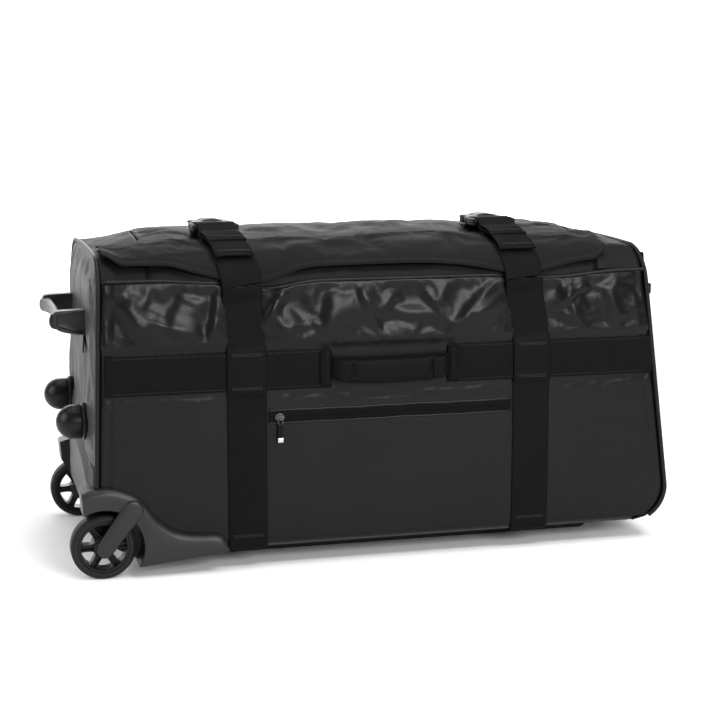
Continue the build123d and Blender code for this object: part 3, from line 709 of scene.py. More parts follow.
def side_panel(side):
    """Make the big front or back panel, from the bottom edge up to its top seam."""
    step = 4.0
    us, vs = spaced(0, 1, step / 740), spaced(0, 1, step / 335)
    u, v = np.meshgrid(us, vs)
    seam = seam_height(WHEEL_TOP_X + u * (HANDLE_TOP_X - WHEEL_TOP_X))
    z = FLOOR_Z + v * (seam - FLOOR_Z)
    low_x, high_x = wheel_edge(z) + 3.5, handle_edge(z) - 3.5
    x = low_x + u * (high_x - low_x)
    edge = np.minimum(x - low_x, high_x - x)
    tuck = np.clip((FLOOR_Z + 9 - z) / 9, 0, 1)
    y = side_y(x, z, side) - 3.5 * np.exp(-edge / 3.0) - 1.6 * hill(edge, 11, 1.8)
    y = y - 9 * (1 - np.sqrt(1 - tuck**2))
    points = np.stack([x, side * y, z], -1).reshape(-1, 3)
    name = SIDES[side]
    made = piece(f"{name}_fabric", points, grid_faces(*x.shape), TARPAULIN, "bag_body", "tarpaulin")
    held = np.maximum.reduce([
        1 - smooth_step(2, 12, edge), 1 - smooth_step(2, 10, seam - z), 1 - smooth_step(4, 20, z - FLOOR_Z),
        hill(z, BAND_Z, 30), hill(z, 193, 14), 1 - strap_hold(x), hill(np.hypot(x + 320, z - 60), 0, 90),
        smooth_step(BAND_Z - 20, BAND_Z - 60, z) * 0.6,
    ])
    settle(made, np.clip(held, 0, 1).ravel(), pressure=0.2, slack=0.015, cap=3.0)
    cut_for_wheels(made, 130)
    thicken(made, 1.4)
    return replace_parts(made, f"{name}_panel")


def end_outline_top(y):
    """Give the height of the end's outline above a distance y from the middle plane."""
    centre_y = HALF - SHOULDER
    centre_z = END_CROWN - ARCH_END * (centre_y / HALF) ** 2 - SHOULDER
    reach = np.clip(np.abs(y) - centre_y, 0, SHOULDER - 0.01)
    crown = END_CROWN - ARCH_END * (y / HALF) ** 2
    return np.where(np.abs(y) < centre_y, crown, centre_z + np.sqrt(SHOULDER**2 - reach**2))


def end_bulge(border, z):
    """Give how far an end swells out, at a distance in from its border."""
    return 4.5 * smooth_step(0, 60, border) * smooth_step(FLOOR_Z, FLOOR_Z + 70, z)


def end_panel(name, edge, outward, finish, slot_name, node, seed, depth):
    """Make an end of the bag: it bulges a little and hangs in upright wrinkles."""
    us, vs = spaced(-1, 1, 0.024), spaced(0, 1, 0.0115)
    u, v = np.meshgrid(us, vs)
    y = (HALF - 0.8) * np.sin(u * math.pi / 2 * 0.98) / math.sin(math.pi / 2 * 0.98)
    top = end_outline_top(y) - 1.0
    z = FLOOR_Z + (top - FLOOR_Z) * v
    border = np.minimum(np.minimum(HALF - np.abs(y), (top - z) * 1.2), 60)
    wrinkle = lumps(y * 2.6, z * 0.45, 34, seed) * 1.5 + lumps(y * 4.0, z * 0.7, 22, seed + 4) * 0.7
    upper = smooth_step(120, 230, z)
    out = end_bulge(border, z) * depth + wrinkle * smooth_step(4, 26, border) * (0.25 + 0.75 * upper)
    out = out - 3.0 * np.exp(-border / 3.0)
    x = edge(z) + outward * out
    points = np.stack([x, y, z], -1).reshape(-1, 3)
    made = piece(name, points, grid_faces(*x.shape), finish, "bag_body", slot_name)
    held = np.maximum.reduce([1 - smooth_step(3, 16, border), 1 - smooth_step(40, 150, z)])
    settle(made, np.clip(held, 0, 1).ravel(), pressure=0.2, slack=0.012, cap=2.5)
    cut_for_wheels(made, 138)
    if outward > 0:
        cut_for_handle(made)
    thicken(made, 1.4)
    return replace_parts(made, node)


for side in (FRONT, BACK):
    side_panel(side)
# The wheel end takes the lighter copy of the tarpaulin as painted light on the lit end; the handle end keeps
# the plain tarpaulin.
end_panel("wheel_end_fabric", wheel_edge, -1, END_FABRIC_PAINTED_LIGHT, "end_fabric", "wheel_end_panel", 2.3, 1.0)
end_panel("handle_end_fabric", handle_edge, 1, TARPAULIN, "tarpaulin", "handle_end_panel", 7.9, 0.4)


# ------------------------------------------------------------------ stitches and piping


def stitches(name, path, outward, body, length=3.2, gap=1.3, width=0.55, height=0.35):
    """Sew a row of small raised stitches along a path; outward is the direction off the cloth."""
    path = np.asarray(path, float)
    outward = np.broadcast_to(np.asarray(outward, float), path.shape)
    steps = np.linalg.norm(np.diff(path, axis=0), axis=1)
    along = np.concatenate([[0], np.cumsum(steps)])
    starts = np.arange(1.0, along[-1] - length, length + gap)
    shapes = []
    for s in starts:
        ends = [np.array([np.interp(t, along, path[:, k]) for k in range(3)]) for t in (s, s + length)]
        out = np.array([np.interp(s + length / 2, along, outward[:, k]) for k in range(3)])
        out /= np.linalg.norm(out)
        run = (ends[1] - ends[0]) / max(np.linalg.norm(ends[1] - ends[0]), 1e-6)
        across = np.cross(run, out) * width / 2
        a, b = ends
        inner_a, inner_b = a + run * 0.5 + out * height, b - run * 0.5 + out * height
        low_a, low_b = a - out * 0.3, b - out * 0.3
        points = [low_a, low_b, inner_a + across, inner_b + across, inner_b - across, inner_a - across]
        faces = [(0, 2, 5), (1, 4, 3), (2, 3, 4, 5), (0, 1, 3, 2), (0, 5, 4, 1)]
        shapes.append((points, faces))
    points, faces = join_shapes(shapes)
    return piece(name, points, faces, THREAD, body, "webbing")


def front_point(x, z, out, side=FRONT):
    """Give the point on the front or back surface at x and z, a little way out."""
    x, z = np.broadcast_arrays(np.asarray(x, float), np.asarray(z, float))
    return np.stack([x, side * (side_y(x, z, side) + out), z], -1)


def end_path(edge, inset, reach_y):
    """Give the line round an end of the bag, from the front's bottom corner over the top to the back's."""
    points = []
    for z in np.linspace(FLOOR_Z + 6, 345, 60):
        points.append((edge(z) + inset, -reach_y, z))
    for y in reach_y * np.sin(np.linspace(-1, 1, 81) * math.pi / 2 * 0.985):
        z = end_outline_top(y * (HALF - 1.0) / reach_y)
        points.append((edge(z) + inset, y, z))
    for z in np.linspace(345, FLOOR_Z + 6, 60):
        points.append((edge(z) + inset, reach_y, z))
    points = np.array(points)
    keep = [0]
    for i in range(1, len(points)):
        if np.linalg.norm(points[i] - points[keep[-1]]) > 3.5:
            keep.append(i)
    return points[keep]


def end_piping(name, edge, inset, lowest=0):
    """Make the thick piping round one end, down to a lowest height."""
    path = end_path(edge, inset, HALF + 0.6)
    path = path[path[:, 2] > lowest]
    return tube(name, path, 2.9, PIPING, "bag_body", "tarpaulin", segments=12)


def seam_piping(side):
    """Make the piping along the front's or back's top seam, and the stitches below it."""
    x = np.linspace(WHEEL_TOP_X + 8, HANDLE_TOP_X + 4, 150)
    z = seam_height(x)
    covered = 0
    for strap_x in STRAPS.values():
        covered = covered + smooth_step(34, 24, np.abs(x - strap_x - strap_lean(strap_x, SEAM_Z)))
    path = front_point(x, z, 0.6 - 2.6 * covered, side)
    name = SIDES[side]
    tube(f"{name}_seam_piping", path, 2.1, PIPING, "bag_body", "tarpaulin")
    row = front_point(x[4:-4], z[4:-4] - 6.5, 0.05, side)
    stitches(f"{name}_seam_stitches", row, (0, side, 0.1), "bag_body")


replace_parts(end_piping("wheel_end_piping", wheel_edge, 1.6, lowest=112), "edge_piping")
end_piping("handle_end_piping", handle_edge, -1.6)
for side in (FRONT, BACK):
    seam_piping(side)


# ------------------------------------------------------------------ top: gussets, lid and storm flap


def top_sheet(name, xs, arcs, out, finish, body, slot_name, thickness=1.4, warp=None):
    """Make a sheet over the bag's top between two ends (xs) and two arc lengths (arcs)."""
    x, s = np.meshgrid(xs, arcs)
    lift = out if warp is None else out + warp(x, s)
    points = over_top(x, s, lift).reshape(-1, 3)
    made = piece(name, points, grid_faces(*x.shape), finish, body, slot_name)
    return thicken(made, thickness) if thickness else made


GUSSET_ARC = arc_at(386.1)
LID_FRONT_ARC, LID_BACK_ARC = GUSSET_ARC - 4.5, GUSSET_ARC - 2.8
ZIP_ARC = GUSSET_ARC + 1.0


def gussets():
    """Make the fixed strips round the lid's opening."""
    for side in (FRONT, BACK):
        xs = spaced(-LID_HALF - 2, LID_HALF + 2, 6)
        x, v = np.meshgrid(xs, spaced(0, 1, 0.1))
        seam_arc = np.array([arc_at(min(z, 372.0)) for z in seam_height(xs)])
        s = side * (seam_arc[None, :] * (1 - v) + GUSSET_ARC * v)
        wavy = -0.8 - 1.2 * lumps(x, s, 18, 2.2 + side) * np.sin(math.pi * v)
        points = over_top(x, s, wavy).reshape(-1, 3)
        name = SIDES[side]
        made = piece(f"{name}_gusset_fabric", points, grid_faces(*x.shape), LID_FABRIC, "bag_body", "tarpaulin")
        thicken(made, 1.2)
        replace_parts(made, f"{name}_top_gusset")
    ends = (
        ("wheel_end", WHEEL_TOP_X + 2.2, -LID_HALF - 2, 11.0),
        ("handle_end", LID_HALF + 2, HANDLE_TOP_X - 2.2, 16.0),
    )
    for name, low, high, seed in ends:
        reach = arc_at(SEAM_Z + 2, (low + high) / 2)
        arcs = spaced(-reach, reach, 5)
        crease = ((low, -120), (high, -60), 1.2, 4, 12)
        made = top_sheet(
            f"{name}_gusset_fabric", spaced(low, high, 4), arcs, -0.2, LID_FABRIC, "bag_body", "tarpaulin",
            warp=lambda x, s: 1.6 * lumps(x * 1.5, s, 30, seed) + fold(x, s, *crease),
        )
        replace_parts(made, f"{name}_gusset")


def lid():
    """Make the lid's fabric: crowned, stuffed and a little wrinkled."""
    xs = spaced(-LID_HALF, LID_HALF, 5)
    arcs = spaced(-LID_FRONT_ARC, LID_BACK_ARC, 5)
    x, s = np.meshgrid(xs, arcs)
    border = np.minimum(LID_HALF - np.abs(x), np.minimum(s + LID_FRONT_ARC, LID_BACK_ARC - s))
    rear = smooth_step(-90, -40, s)
    out = rear * (1.8 * lumps(x, s * 1.6, 44, 4.4) + 1.0 * lumps(x, s, 20, 9.1))
    out = out + 1.5 * smooth_step(0, 40, border)
    for strap_x in STRAPS.values():
        out = out - 1.5 * hill(x, strap_x - 15, 40) * rear
    points = over_top(x, s, out).reshape(-1, 3)
    made = piece("lid_fabric", points, grid_faces(*x.shape), LID_FABRIC, "lid", "lid_fabric")
    held = np.maximum.reduce([1 - smooth_step(2, 14, border), 1 - smooth_step(-70, -30, s)])
    settle(made, np.clip(held, 0, 1).ravel(), pressure=0.3, slack=0.014, cap=3.5)
    thicken(made, 1.4)
    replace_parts(made, "lid_panel")
    line = np.linspace(-LID_HALF + 7, LID_HALF - 7, 140)
    for arc, name in ((LID_BACK_ARC - 7, "back"), (-LID_FRONT_ARC + 6, "front")):
        stitches(f"lid_{name}_stitches", over_top(line, arc, 1.0), top_out(line, arc), "lid")


def hinge_strip():
    """Make the strip of fabric that the lid turns on."""
    xs = spaced(-LID_HALF, LID_HALF, 8)
    arcs = spaced(LID_BACK_ARC - 12, GUSSET_ARC + 10, 2)
    made = top_sheet("lid_hinge_strip", xs, arcs, 1.4, LID_FABRIC, None, "lid_fabric", thickness=0)
    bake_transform(made)
    thicken(made, 1.0)


FLAP_ENDS = (-344.0, 309.0)
FLAP_ROOT = 87.5  # arc length from the crest to the seam that holds the flap
# Creases in the flap, as places (x, arc length), heights and widths
FLAP_CREASES = (
    ((-300, -120), (-215, -108), 2.4, 6, 16), ((-292, -150), (-205, -140), 2.08, 5, 16),
    ((-262, -96), (-212, -128), 1.92, 5, 12), ((-140, -104), (-60, -116), 2.24, 6, 15),
    ((-120, -140), (-20, -120), 2.4, 7, 18), ((-40, -112), (60, -100), 2.4, 7, 18),
    ((90, -106), (164, -130), 2.24, 6, 16), ((100, -150), (160, -142), 1.6, 5, 12),
    ((225, -112), (290, -132), 2.4, 5, 14), ((232, -140), (282, -112), 1.92, 5, 12),
)


def hem_height(x):
    """Give the height of the flap's front hem: held down by the straps and lifting between them."""
    plain = 375.5
    lifted = 4 * smooth_step(-230, -270, x) + 11 * smooth_step(-318, -346, x) + 10 * smooth_step(284, 312, x)
    pulled = 14 * hill(x, -172, 52) + 3 * hill(x, -140, 25) + 13 * hill(x, 192, 55) + 2 * hill(x, 120, 50)
    return plain + lifted - pulled


def storm_flap():
    """Make the storm flap: sewn to the lid near the crest, and hanging over the zip."""
    xs = spaced(*FLAP_ENDS, 4.0)
    x, v = np.meshgrid(xs, spaced(0, 1, 0.028))
    hem = np.array([arc_at(z, px) for z, px in zip(hem_height(xs), xs)])
    root = FLAP_ROOT - 10 * smooth_step(270, 309, xs) - 14 * smooth_step(-300, -344, xs)
    s = -(root[None, :] * (1 - v) + hem[None, :] * v)
    free = smooth_step(0.3, 1.0, v)
    between = 1 - np.clip(hill(x, -180, 46) + hill(x, 190, 46), 0, 1)
    out = 2.2 + 2.6 * smooth_step(0, 0.12, v)
    out = out + free * between * (3.2 + 2.0 * hill(x, 20, 100) + 2.2 * hill(x, -300, 45))
    out = out + 2.4 * between * np.sin(math.pi * v) * lumps(x * 0.8, s * 1.5, 46, 5.5)
    out = out + folds(x, s, FLAP_CREASES)
    out = out - 0.7 * hill(v, 0.93, 0.02)
    points = over_top(x, s, np.maximum(out, 1.9)).reshape(-1, 3)
    made = piece("storm_flap_fabric", points, grid_faces(*x.shape), FLAP_FABRIC, "lid", "lid_fabric")
    sewn, hemmed = 1 - smooth_step(0.03, 0.15, v), smooth_step(0.8, 1.0, v) * 0.7
    held = np.maximum.reduce([sewn, 0.9 * (1 - between), hemmed])
    settle(made, np.clip(held, 0, 1).ravel(), pressure=0.15, slack=0.016, cap=3.0, bending=0.6)
    thicken(made, 1.3, inward=False)
    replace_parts(made, "storm_flap")
    grid = np.zeros(len(made.data.vertices) * 3)
    made.data.vertices.foreach_get("co", grid)
    grid = grid.reshape(len(x), len(xs), 3) / MM
    outs = top_out(xs, -(hem - 6))
    stitches("flap_hem_stitches", (grid[-3] + outs * 1.3)[2:-2], outs[2:-2], "lid")
    outs = top_out(xs, -root)
    stitches("flap_root_stitches", (grid[2] + outs * 1.35)[2:-2], outs[2:-2], "lid")
    return made


gussets()
lid()
hinge_strip()
storm_flap()


# ------------------------------------------------------------------ webbing

RIB = 3.2  # from one crosswise rib to the next


def resample(path, outs, step):
    """Space a path evenly, with the directions that go with its points."""
    path = np.asarray(path, float)
    outs = np.broadcast_to(np.asarray(outs, float), path.shape)
    along = np.concatenate([[0], np.cumsum(np.linalg.norm(np.diff(path, axis=0), axis=1))])
    at = np.linspace(0, along[-1], max(3, int(along[-1] / step)))
    return at, *(np.stack([np.interp(at, along, o[:, k]) for k in range(3)], -1) for o in (path, outs))


def webbing(name, path, outs, body, width=50.0, thick=1.8, rib=0.5, edge_wave=0.25, seed=1.0, finish=WEBBING):
    """Weave a strap along a path: crosswise ribs, firm round edges and a slight wander.

    outs is the direction off the cloth, for each point or for all of them.
    """
    at, line, out = resample(path, outs, RIB / 4)
    forward = np.gradient(line, axis=0)
    forward /= np.linalg.norm(forward, axis=1)[:, None]
    out = out - forward * np.sum(out * forward, axis=1)[:, None]
    out /= np.linalg.norm(out, axis=1)[:, None]
    across = np.cross(forward, out)
    columns = np.array([-1, -0.97, -0.85, -0.5, 0, 0.5, 0.85, 0.97, 1.0])
    ring, strand = [], []
    wander = np.array([noise.noise(Vector((a / 37, seed, 0))) for a in at]) * edge_wave
    ribs = rib * (np.abs(np.sin(math.pi * at / RIB)) ** 0.7 - 0.5)
    heights = []
    for c in columns:
        firm = math.sqrt(max(0.0, 1 - abs(c) ** 12))
        heights.append((c, thick * (0.45 + 0.55 * firm) + ribs * firm))
    heights += [(c, np.zeros(len(at))) for c in (0.97, 0, -0.97)]
    for c, height in heights:
        ring.append(line + across * (c * width / 2 + wander)[:, None] + out * height[:, None])
        strand.append(np.stack([np.full(len(at), c * width / 2), at, np.zeros(len(at))], -1))
    points = np.stack(ring, 1).reshape(-1, 3)
    made = piece(name, points, closed_faces(len(at), len(ring)), finish, body, "webbing")
    values = made.data.attributes.new("strand", "FLOAT_VECTOR", "POINT")
    values.data.foreach_set("vector", (np.stack(strand, 1).reshape(-1) * MM).astype(np.float32))
    return made


def bar_tack(name, centre, along, across, out, body, length=38.0, rows=3):
    """Sew a box of dense stitches that fixes a strap."""
    centre, along, across, out = (np.asarray(v, float) for v in (centre, along, across, out))
    lines = []
    for row in range(rows):
        start = centre + along * (row - (rows - 1) / 2) * 1.5
        line = np.array([start + across * t for t in np.linspace(-length / 2, length / 2, 12)])
        lines.append(line if row % 2 == 0 else line[::-1])
    return stitches(name, np.concatenate(lines), out, body, length=2.4, gap=0.5, width=0.7, height=0.4)


def strap_path(x_strap, side):
    """Give the line of a strap up a side: tucked under the bag, and stepping over the band and piping."""
    points, outs = [], []
    for y in (140, 148, 156, 162):
        points.append((x_strap, side * y, FLOOR_Z - 2.2))
        outs.append((0, 0, -1))
    for a in np.linspace(10, 80, 5):
        r = math.radians(a)
        points.append((x_strap, side * (HALF - 7 + 7.6 * math.sin(r)), FLOOR_Z + 6.5 - 8.7 * math.cos(r)))
        outs.append((0, side * math.sin(r), -math.cos(r)))
    for z in np.linspace(FLOOR_Z + 9, SEAM_Z - 4.5, 110):
        band = 2.3 * smooth_step(BAND_Z - 32, BAND_Z - 25, z) * smooth_step(BAND_Z + 32, BAND_Z + 25, z)
        lift = 5.6 * smooth_step(SEAM_Z - 26, SEAM_Z - 6, z)
        lean, y = 0.0, HALF + 0.7
        if side == FRONT:
            lean = strap_lean(x_strap, z)
            y = max(front_y(x_strap + lean, z), HALF) + 0.6
        y += band + lift
        points.append((x_strap + lean, side * y, z))
        outs.append((0, side, 0.0))
    return np.array(points), np.array(outs, float)


def top_line(x_from, x_to, arcs, out):
    """Give a line over the top that slants from one x to another, and its directions out."""
    arcs = np.asarray(arcs, float)
    share = (arcs - arcs[0]) / (arcs[-1] - arcs[0])
    x = x_from + (x_to - x_from) * share
    return over_top(x, arcs, out), top_out(x, arcs)


def straps():
    """Make the two straps that go right round the bag, each in the pieces that its joints part."""
    for which, x_strap in STRAPS.items():
        front, outs = strap_path(x_strap, FRONT)
        made = webbing(f"front_strap_web_{which}", front, outs, "bag_body", seed=x_strap, edge_wave=0.5)
        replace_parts(made, f"front_strap_{which}")
        for z in (FLOOR_Z + 16, BAND_Z - 21, BAND_Z + 21):
            y = -(HALF + 2.6 + (2.3 if abs(z - BAND_Z) < 30 else 0.2) + max(0, front_out(x_strap, z)))
            name = f"strap_tack_{which}_{int(z)}"
            bar_tack(name, (x_strap, y, z), (0, 0, 1), (1, 0, 0), (0, -1, 0), "bag_body")
        back, outs = strap_path(x_strap, BACK)
        arcs = np.linspace(arc_at(SEAM_Z), 166.0, 10)
        over, over_outs = top_line(x_strap, x_strap, arcs, 6.2)
        path, outs = np.vstack([back[:-1], over]), np.vstack([outs[:-1], over_outs])
        made = webbing(f"back_strap_web_{which}", path, outs, "bag_body", seed=x_strap + 9)
        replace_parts(made, f"back_strap_{which}")
        lid_strap(which, x_strap)


def lid_strap(which, x_strap):
    """Make a strap's run over the lid, and the short length over the lid's hinge."""
    x_buckle = middle(f"buckle_socket_{which}")[0]
    arcs = np.linspace(-52, 147, 60)
    line, outs = top_line(x_buckle, x_strap, arcs, 2.0 + 1.5 * smooth_step(120, 147, arcs))
    made = webbing(f"lid_strap_web_{which}", line, outs, "lid", seed=x_strap + 3)
    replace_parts(made, f"lid_strap_{which}")
    line, outs = top_line(x_strap, x_strap, np.linspace(146.5, 166.5, 14), np.linspace(3.5, 6.3, 14))
    made = webbing(f"strap_hinge_web_{which}", line, outs, None, width=49.6, seed=x_strap + 5)
    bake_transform(made)


def strap_tops():
    """Make the strap ends that fold back over the front as the lid opens, with their doubled tails."""
    for which, x_strap in STRAPS.items():
        plug_low, plug_high = span(f"buckle_plug_{which}")
        x_plug = (plug_low[0] + plug_high[0]) / 2
        x_foot = x_strap + strap_lean(x_strap, SEAM_Z)
        body = f"strap_end_{which}"
        arcs = np.linspace(-arc_at(SEAM_Z - 3.6), -101, 60)
        share = smooth_step(-118, -98, arcs)
        out = 7.4 + 0.6 * np.sin(math.pi * np.linspace(0, 1, 60)) + 7.0 * share
        line, outs = top_line(x_foot, x_plug, arcs, out)
        bar_y, bar_z = plug_low[1] + 7, plug_high[2] - 4
        rise = np.array([x_plug, bar_y - 3, bar_z - 4]) - line[-1]
        path = np.vstack([line, [line[-1] + rise * t for t in (0.35, 0.7, 1.0)]])
        outs = np.vstack([outs, [outs[-1]] * 3])
        made = webbing(f"strap_top_web_{which}", path, outs, body, seed=x_strap + 1, edge_wave=0.6)
        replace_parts(made, f"strap_top_{which}")
        strap_tail(which, body, x_plug, x_foot, bar_y, bar_z)


def strap_tail(which, body, x_plug, x_foot, bar_y, bar_z):
    """Make the loose end: it comes back over the buckle's bar, lies on the strap and ends in a hem."""
    shift = (x_foot - x_plug) / 90
    over_bar = ((6, -2.0), (2, 1.6), (-4, 1.8))
    start = [(x_plug, bar_y + y, bar_z + z) for y, z in over_bar]
    for layer, (reach, lift_near, lift_end) in enumerate(((-156, 15.0, 14.0), (-131, 19.5, 17.5))):
        arcs = np.linspace(-103, reach, 24)
        out = np.linspace(lift_near, lift_end, 24) + 1.5 * np.sin(np.linspace(0, math.pi, 24))
        slant = shift * (-101 - arcs)
        line, outs = over_top(x_plug + slant, arcs, out), top_out(x_plug + slant, arcs)
        path = np.vstack([np.array(start) + (0, 0, 2.0 * layer - 1.0), line])
        path_outs = np.vstack([(0, 0.3, 1), (0, 0.1, 1), (0, -0.2, 1), outs])
        webbing(f"strap_tail_web_{which}_{layer}", path, path_outs, body, width=49, seed=layer + x_plug)
        hem_out = outs[-1]
        run = line[-1] - line[-2]
        run /= np.linalg.norm(run)
        hem = [line[-1] + np.array([c, 0, 0]) + hem_out * 1.1 for c in np.linspace(-24.6, 24.6, 12)]
        tube(f"strap_tail_hem_{which}_{layer}", hem, 1.75, WEBBING, body, "webbing")
        centre = line[-1] - run * 6 + hem_out * 2.3
        bar_tack(f"strap_tail_tack_{which}_{layer}", centre, run, (1, 0, 0), hem_out, body, length=42, rows=2)


def bands():
    """Make the webbing bands along the front and the back, and their stitched edges."""
    low, high = span("front_band")
    grip_low, grip_high = span("front_carry_handle")
    runs = {"wheel_end": (low[0] + 2.5, grip_low[0] - 1), "handle_end": (grip_high[0] + 1, high[0] + 4)}
    for side in (FRONT, BACK):
        for end, (x_low, x_high) in runs.items():
            name = f"{SIDES[side]}_band_{end}"
            x = np.linspace(x_low, x_high, 90)
            line = front_point(x, BAND_Z, 0.2, side)
            made = webbing(
                f"{name}_web", line, (0, side, 0), "bag_body", thick=1.5, seed=side * 4, edge_wave=0.4,
            )
            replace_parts(made, f"{SIDES[side]}_band")
            for edge, place in ((-21.5, "low"), (21.5, "top")):
                row = front_point(x[3:-3], BAND_Z + edge, 2.0, side)
                stitches(f"{name}_stitches_{place}", row, (0, side, 0), "bag_body")


def carry_handles():
    """Make the wrapped grips on the front and back, and the webbing loops that hold their ends."""
    low, high = span("front_carry_handle")
    for side in (FRONT, BACK):
        body = f"{SIDES[side]}_grip"
        x0, x1 = low[0] + 13, high[0] - 13
        x = np.linspace(x0, x1, 60)
        middle_x = (x0 + x1) / 2
        half_z = (high[2] - low[2]) / 2 + 0.5
        rings, count = [], 20
        bows = np.cos(math.pi * (x - middle_x) / (x1 - x0))
        for px, bow in zip(x, bows):
            pinch = 1 - 0.22 * math.exp(-min(px - x0, x1 - px) / 4)
            out_y = -low[1] - 4.2 + 1.2 * bow
            for i in range(count):
                a = 2 * math.pi * i / count
                c, d = math.cos(a), math.sin(a)
                ry = 4.0 * math.copysign(abs(c) ** 0.75, c) * pinch
                rz = half_z * math.copysign(abs(d) ** 0.6, d) * pinch
                rings.append((px, side * (out_y + ry), BAND_Z - 1.5 * bow - 3.0 + rz))
        grip = piece(f"{body}_pad", rings, closed_faces(len(x), count), WEBBING, body, "webbing")
        settle(grip, pad_pins(grip, x0, x1), pressure=2.0, slack=0.02, frames=15, cap=1.5)
        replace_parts(grip, f"{SIDES[side]}_carry_handle")
        row = np.stack([x, side * (-low[1] + 0.3 + bows), np.full(len(x), BAND_Z - 11.5)], -1)[3:-3]
        stitches(f"{body}_stitches", row, (0, side, -0.2), body)
        for end in (-1, 1):
            grip_loop(side, body, end, x0 if end < 0 else x1)


def pad_pins(thing, x0, x1):
    """Hold a grip's two ends while its padding swells."""
    xs = np.array([v.co.x for v in thing.data.vertices]) / MM
    return 1 - smooth_step(1, 5, np.minimum(xs - x0, x1 - xs))


def grip_loop(side, body, end, x_end):
    """Make the webbing loop from a grip's end to its anchor on the band."""
    low, high = span("front_carry_handle")
    outer = -low[1] - 2.5
    tip = (high if end > 0 else low)[0]
    points = [
        (x_end - end * 9, outer + 1.6, BAND_Z - 3), (x_end + end * 1, outer + 1.8, BAND_Z - 2.6),
        (x_end + end * 6, outer - 0.5, BAND_Z - 1.6), (x_end + end * 9.5, outer - 5, BAND_Z - 0.6),
        (tip - end * 0.6, HALF + 4.4, BAND_Z),
    ]
    name = "right" if end > 0 else "left"
    plan = curve_through([point[:2] for point in points], 6)
    heights = np.interp(np.linspace(0, 4, len(plan)), range(5), [point[2] for point in points])
    line = np.column_stack([plan * (1, side), heights])
    outs = np.cross(np.gradient(line, axis=0), [0, 0, 1.0])
    outs *= np.sign(outs[:, 1] * side)[:, None]
    webbing(f"{body}_loop_{name}", line, outs, body, width=27, thick=2.2, seed=end * 3)
    t = np.linspace(0, 13, 14)
    swell = 3.0 * np.sin(math.pi * (t / 13) ** 0.8)
    anchor = np.stack([tip + end * (1.5 + t), side * (HALF + 2.2 + swell), np.full(14, BAND_Z)], -1)
    webbing(f"{body}_anchor_{name}", anchor, (0, side, 0), "bag_body", width=44, thick=2.0, seed=end * 5)


straps()
strap_tops()
bands()
carry_handles()


# ------------------------------------------------------------------ wheels and their housings

WELL = 49.0  # radius of the opening round a wheel
WELL_START_X = -377
HOUSING_OUT, HOUSING_IN = 180.0, 140.0  # a housing's outer and inner side, from the middle plane
ARM_TOP = (-317.0, 87.0)
SPOKES = 6


def along_line(line, shares):
    """Give points at shares (0 to 1) of a line's length."""
    line = np.asarray(line, float)
    at = np.concatenate([[0], np.cumsum(np.linalg.norm(np.diff(line, axis=0), axis=1))])
    return np.stack([np.interp(np.asarray(shares) * at[-1], at, line[:, k]) for k in range(line.shape[1])], -1)


def well_edge():
    """Give the lower edge of a housing: round the wheel, then along the tail's underside."""
    start = math.acos((WELL_START_X - AXLE[0]) / WELL)
    end = math.asin((TAIL_START[1] - AXLE[2]) / WELL)
    arc = [(AXLE[0] + WELL * math.cos(a), AXLE[2] + WELL * math.sin(a)) for a in np.linspace(start, end, 50)]
    return np.array(arc), np.array([arc[-1], TAIL_START, TAIL_UNDER])


def housing(side):
    """Make a wheel housing: a soft-edged arch over the wheel that runs into a long low tail."""
    arc, under = well_edge()
    split, knee = 0.56, 0.60  # shares of the rings, and of the top line, that belong to the arch
    shares = np.linspace(0, 1, 110)
    on_arch, on_tail = shares / split, (shares - split) / (1 - split)
    low = np.vstack([along_line(arc, on_arch[on_arch <= 1]), along_line(under, on_tail[on_arch > 1])])
    top = along_line(HOUSING_TOP, np.where(on_arch <= 1, on_arch * knee, knee + on_tail * (1 - knee)))
    rings = []
    for (lx, lz), (tx, tz) in zip(low, top):
        wide = math.hypot(tx - lx, tz - lz)
        soft = min(9.0, 0.8 * wide)
        ring = [(lx, HOUSING_IN + 0.5, lz), (lx, HOUSING_OUT - 1.6, lz)]
        for v in (0.004, 0.02, 0.05, 0.2, 0.4, 0.6):
            swell = 0.3 * math.sin(math.pi * v) - 0.8 * math.exp(-v * wide / 0.8)
            ring.append((lx + (tx - lx) * v, HOUSING_OUT + swell, lz + (tz - lz) * v))
        for a in np.linspace(12, 90, 9):
            r = math.radians(a)
            v = 1 - soft * (1 - math.sin(r)) / wide
            swell = 0.1 - soft * (1 - math.cos(r))
            ring.append((lx + (tx - lx) * v, HOUSING_OUT + swell, lz + (tz - lz) * v))
        ring.append((tx, HOUSING_IN + 0.5, tz))
        rings.append([(x, side * y, z) for x, y, z in ring])
    shell = [p for ring in rings for p in ring], closed_faces(len(rings), len(rings[0]))
    outline = [*HOUSING_TOP, TAIL_UNDER, TAIL_START, (AXLE[0], AXLE[2]), (WELL_START_X, 84)]
    plate = [(x, side * y, z) for y in (HOUSING_IN, HOUSING_IN + 4) for x, z in outline]
    centre = (AXLE[0], side * HOUSING_IN, AXLE[2])
    boss = lathe([(0, 4.1), (0, 13), (9, 12), (9, 4.1)], centre, (0, side, 0), 40)
    shape = join_shapes([shell, (plate, closed_faces(2, len(outline))), boss])
    name, node = f"wheel_housing_shell_{SIDES[side]}", f"wheel_housing_{SIDES[side]}"
    moulding(name, shape, PLASTIC, "bag_body", "moulded_plastic", 40, node)


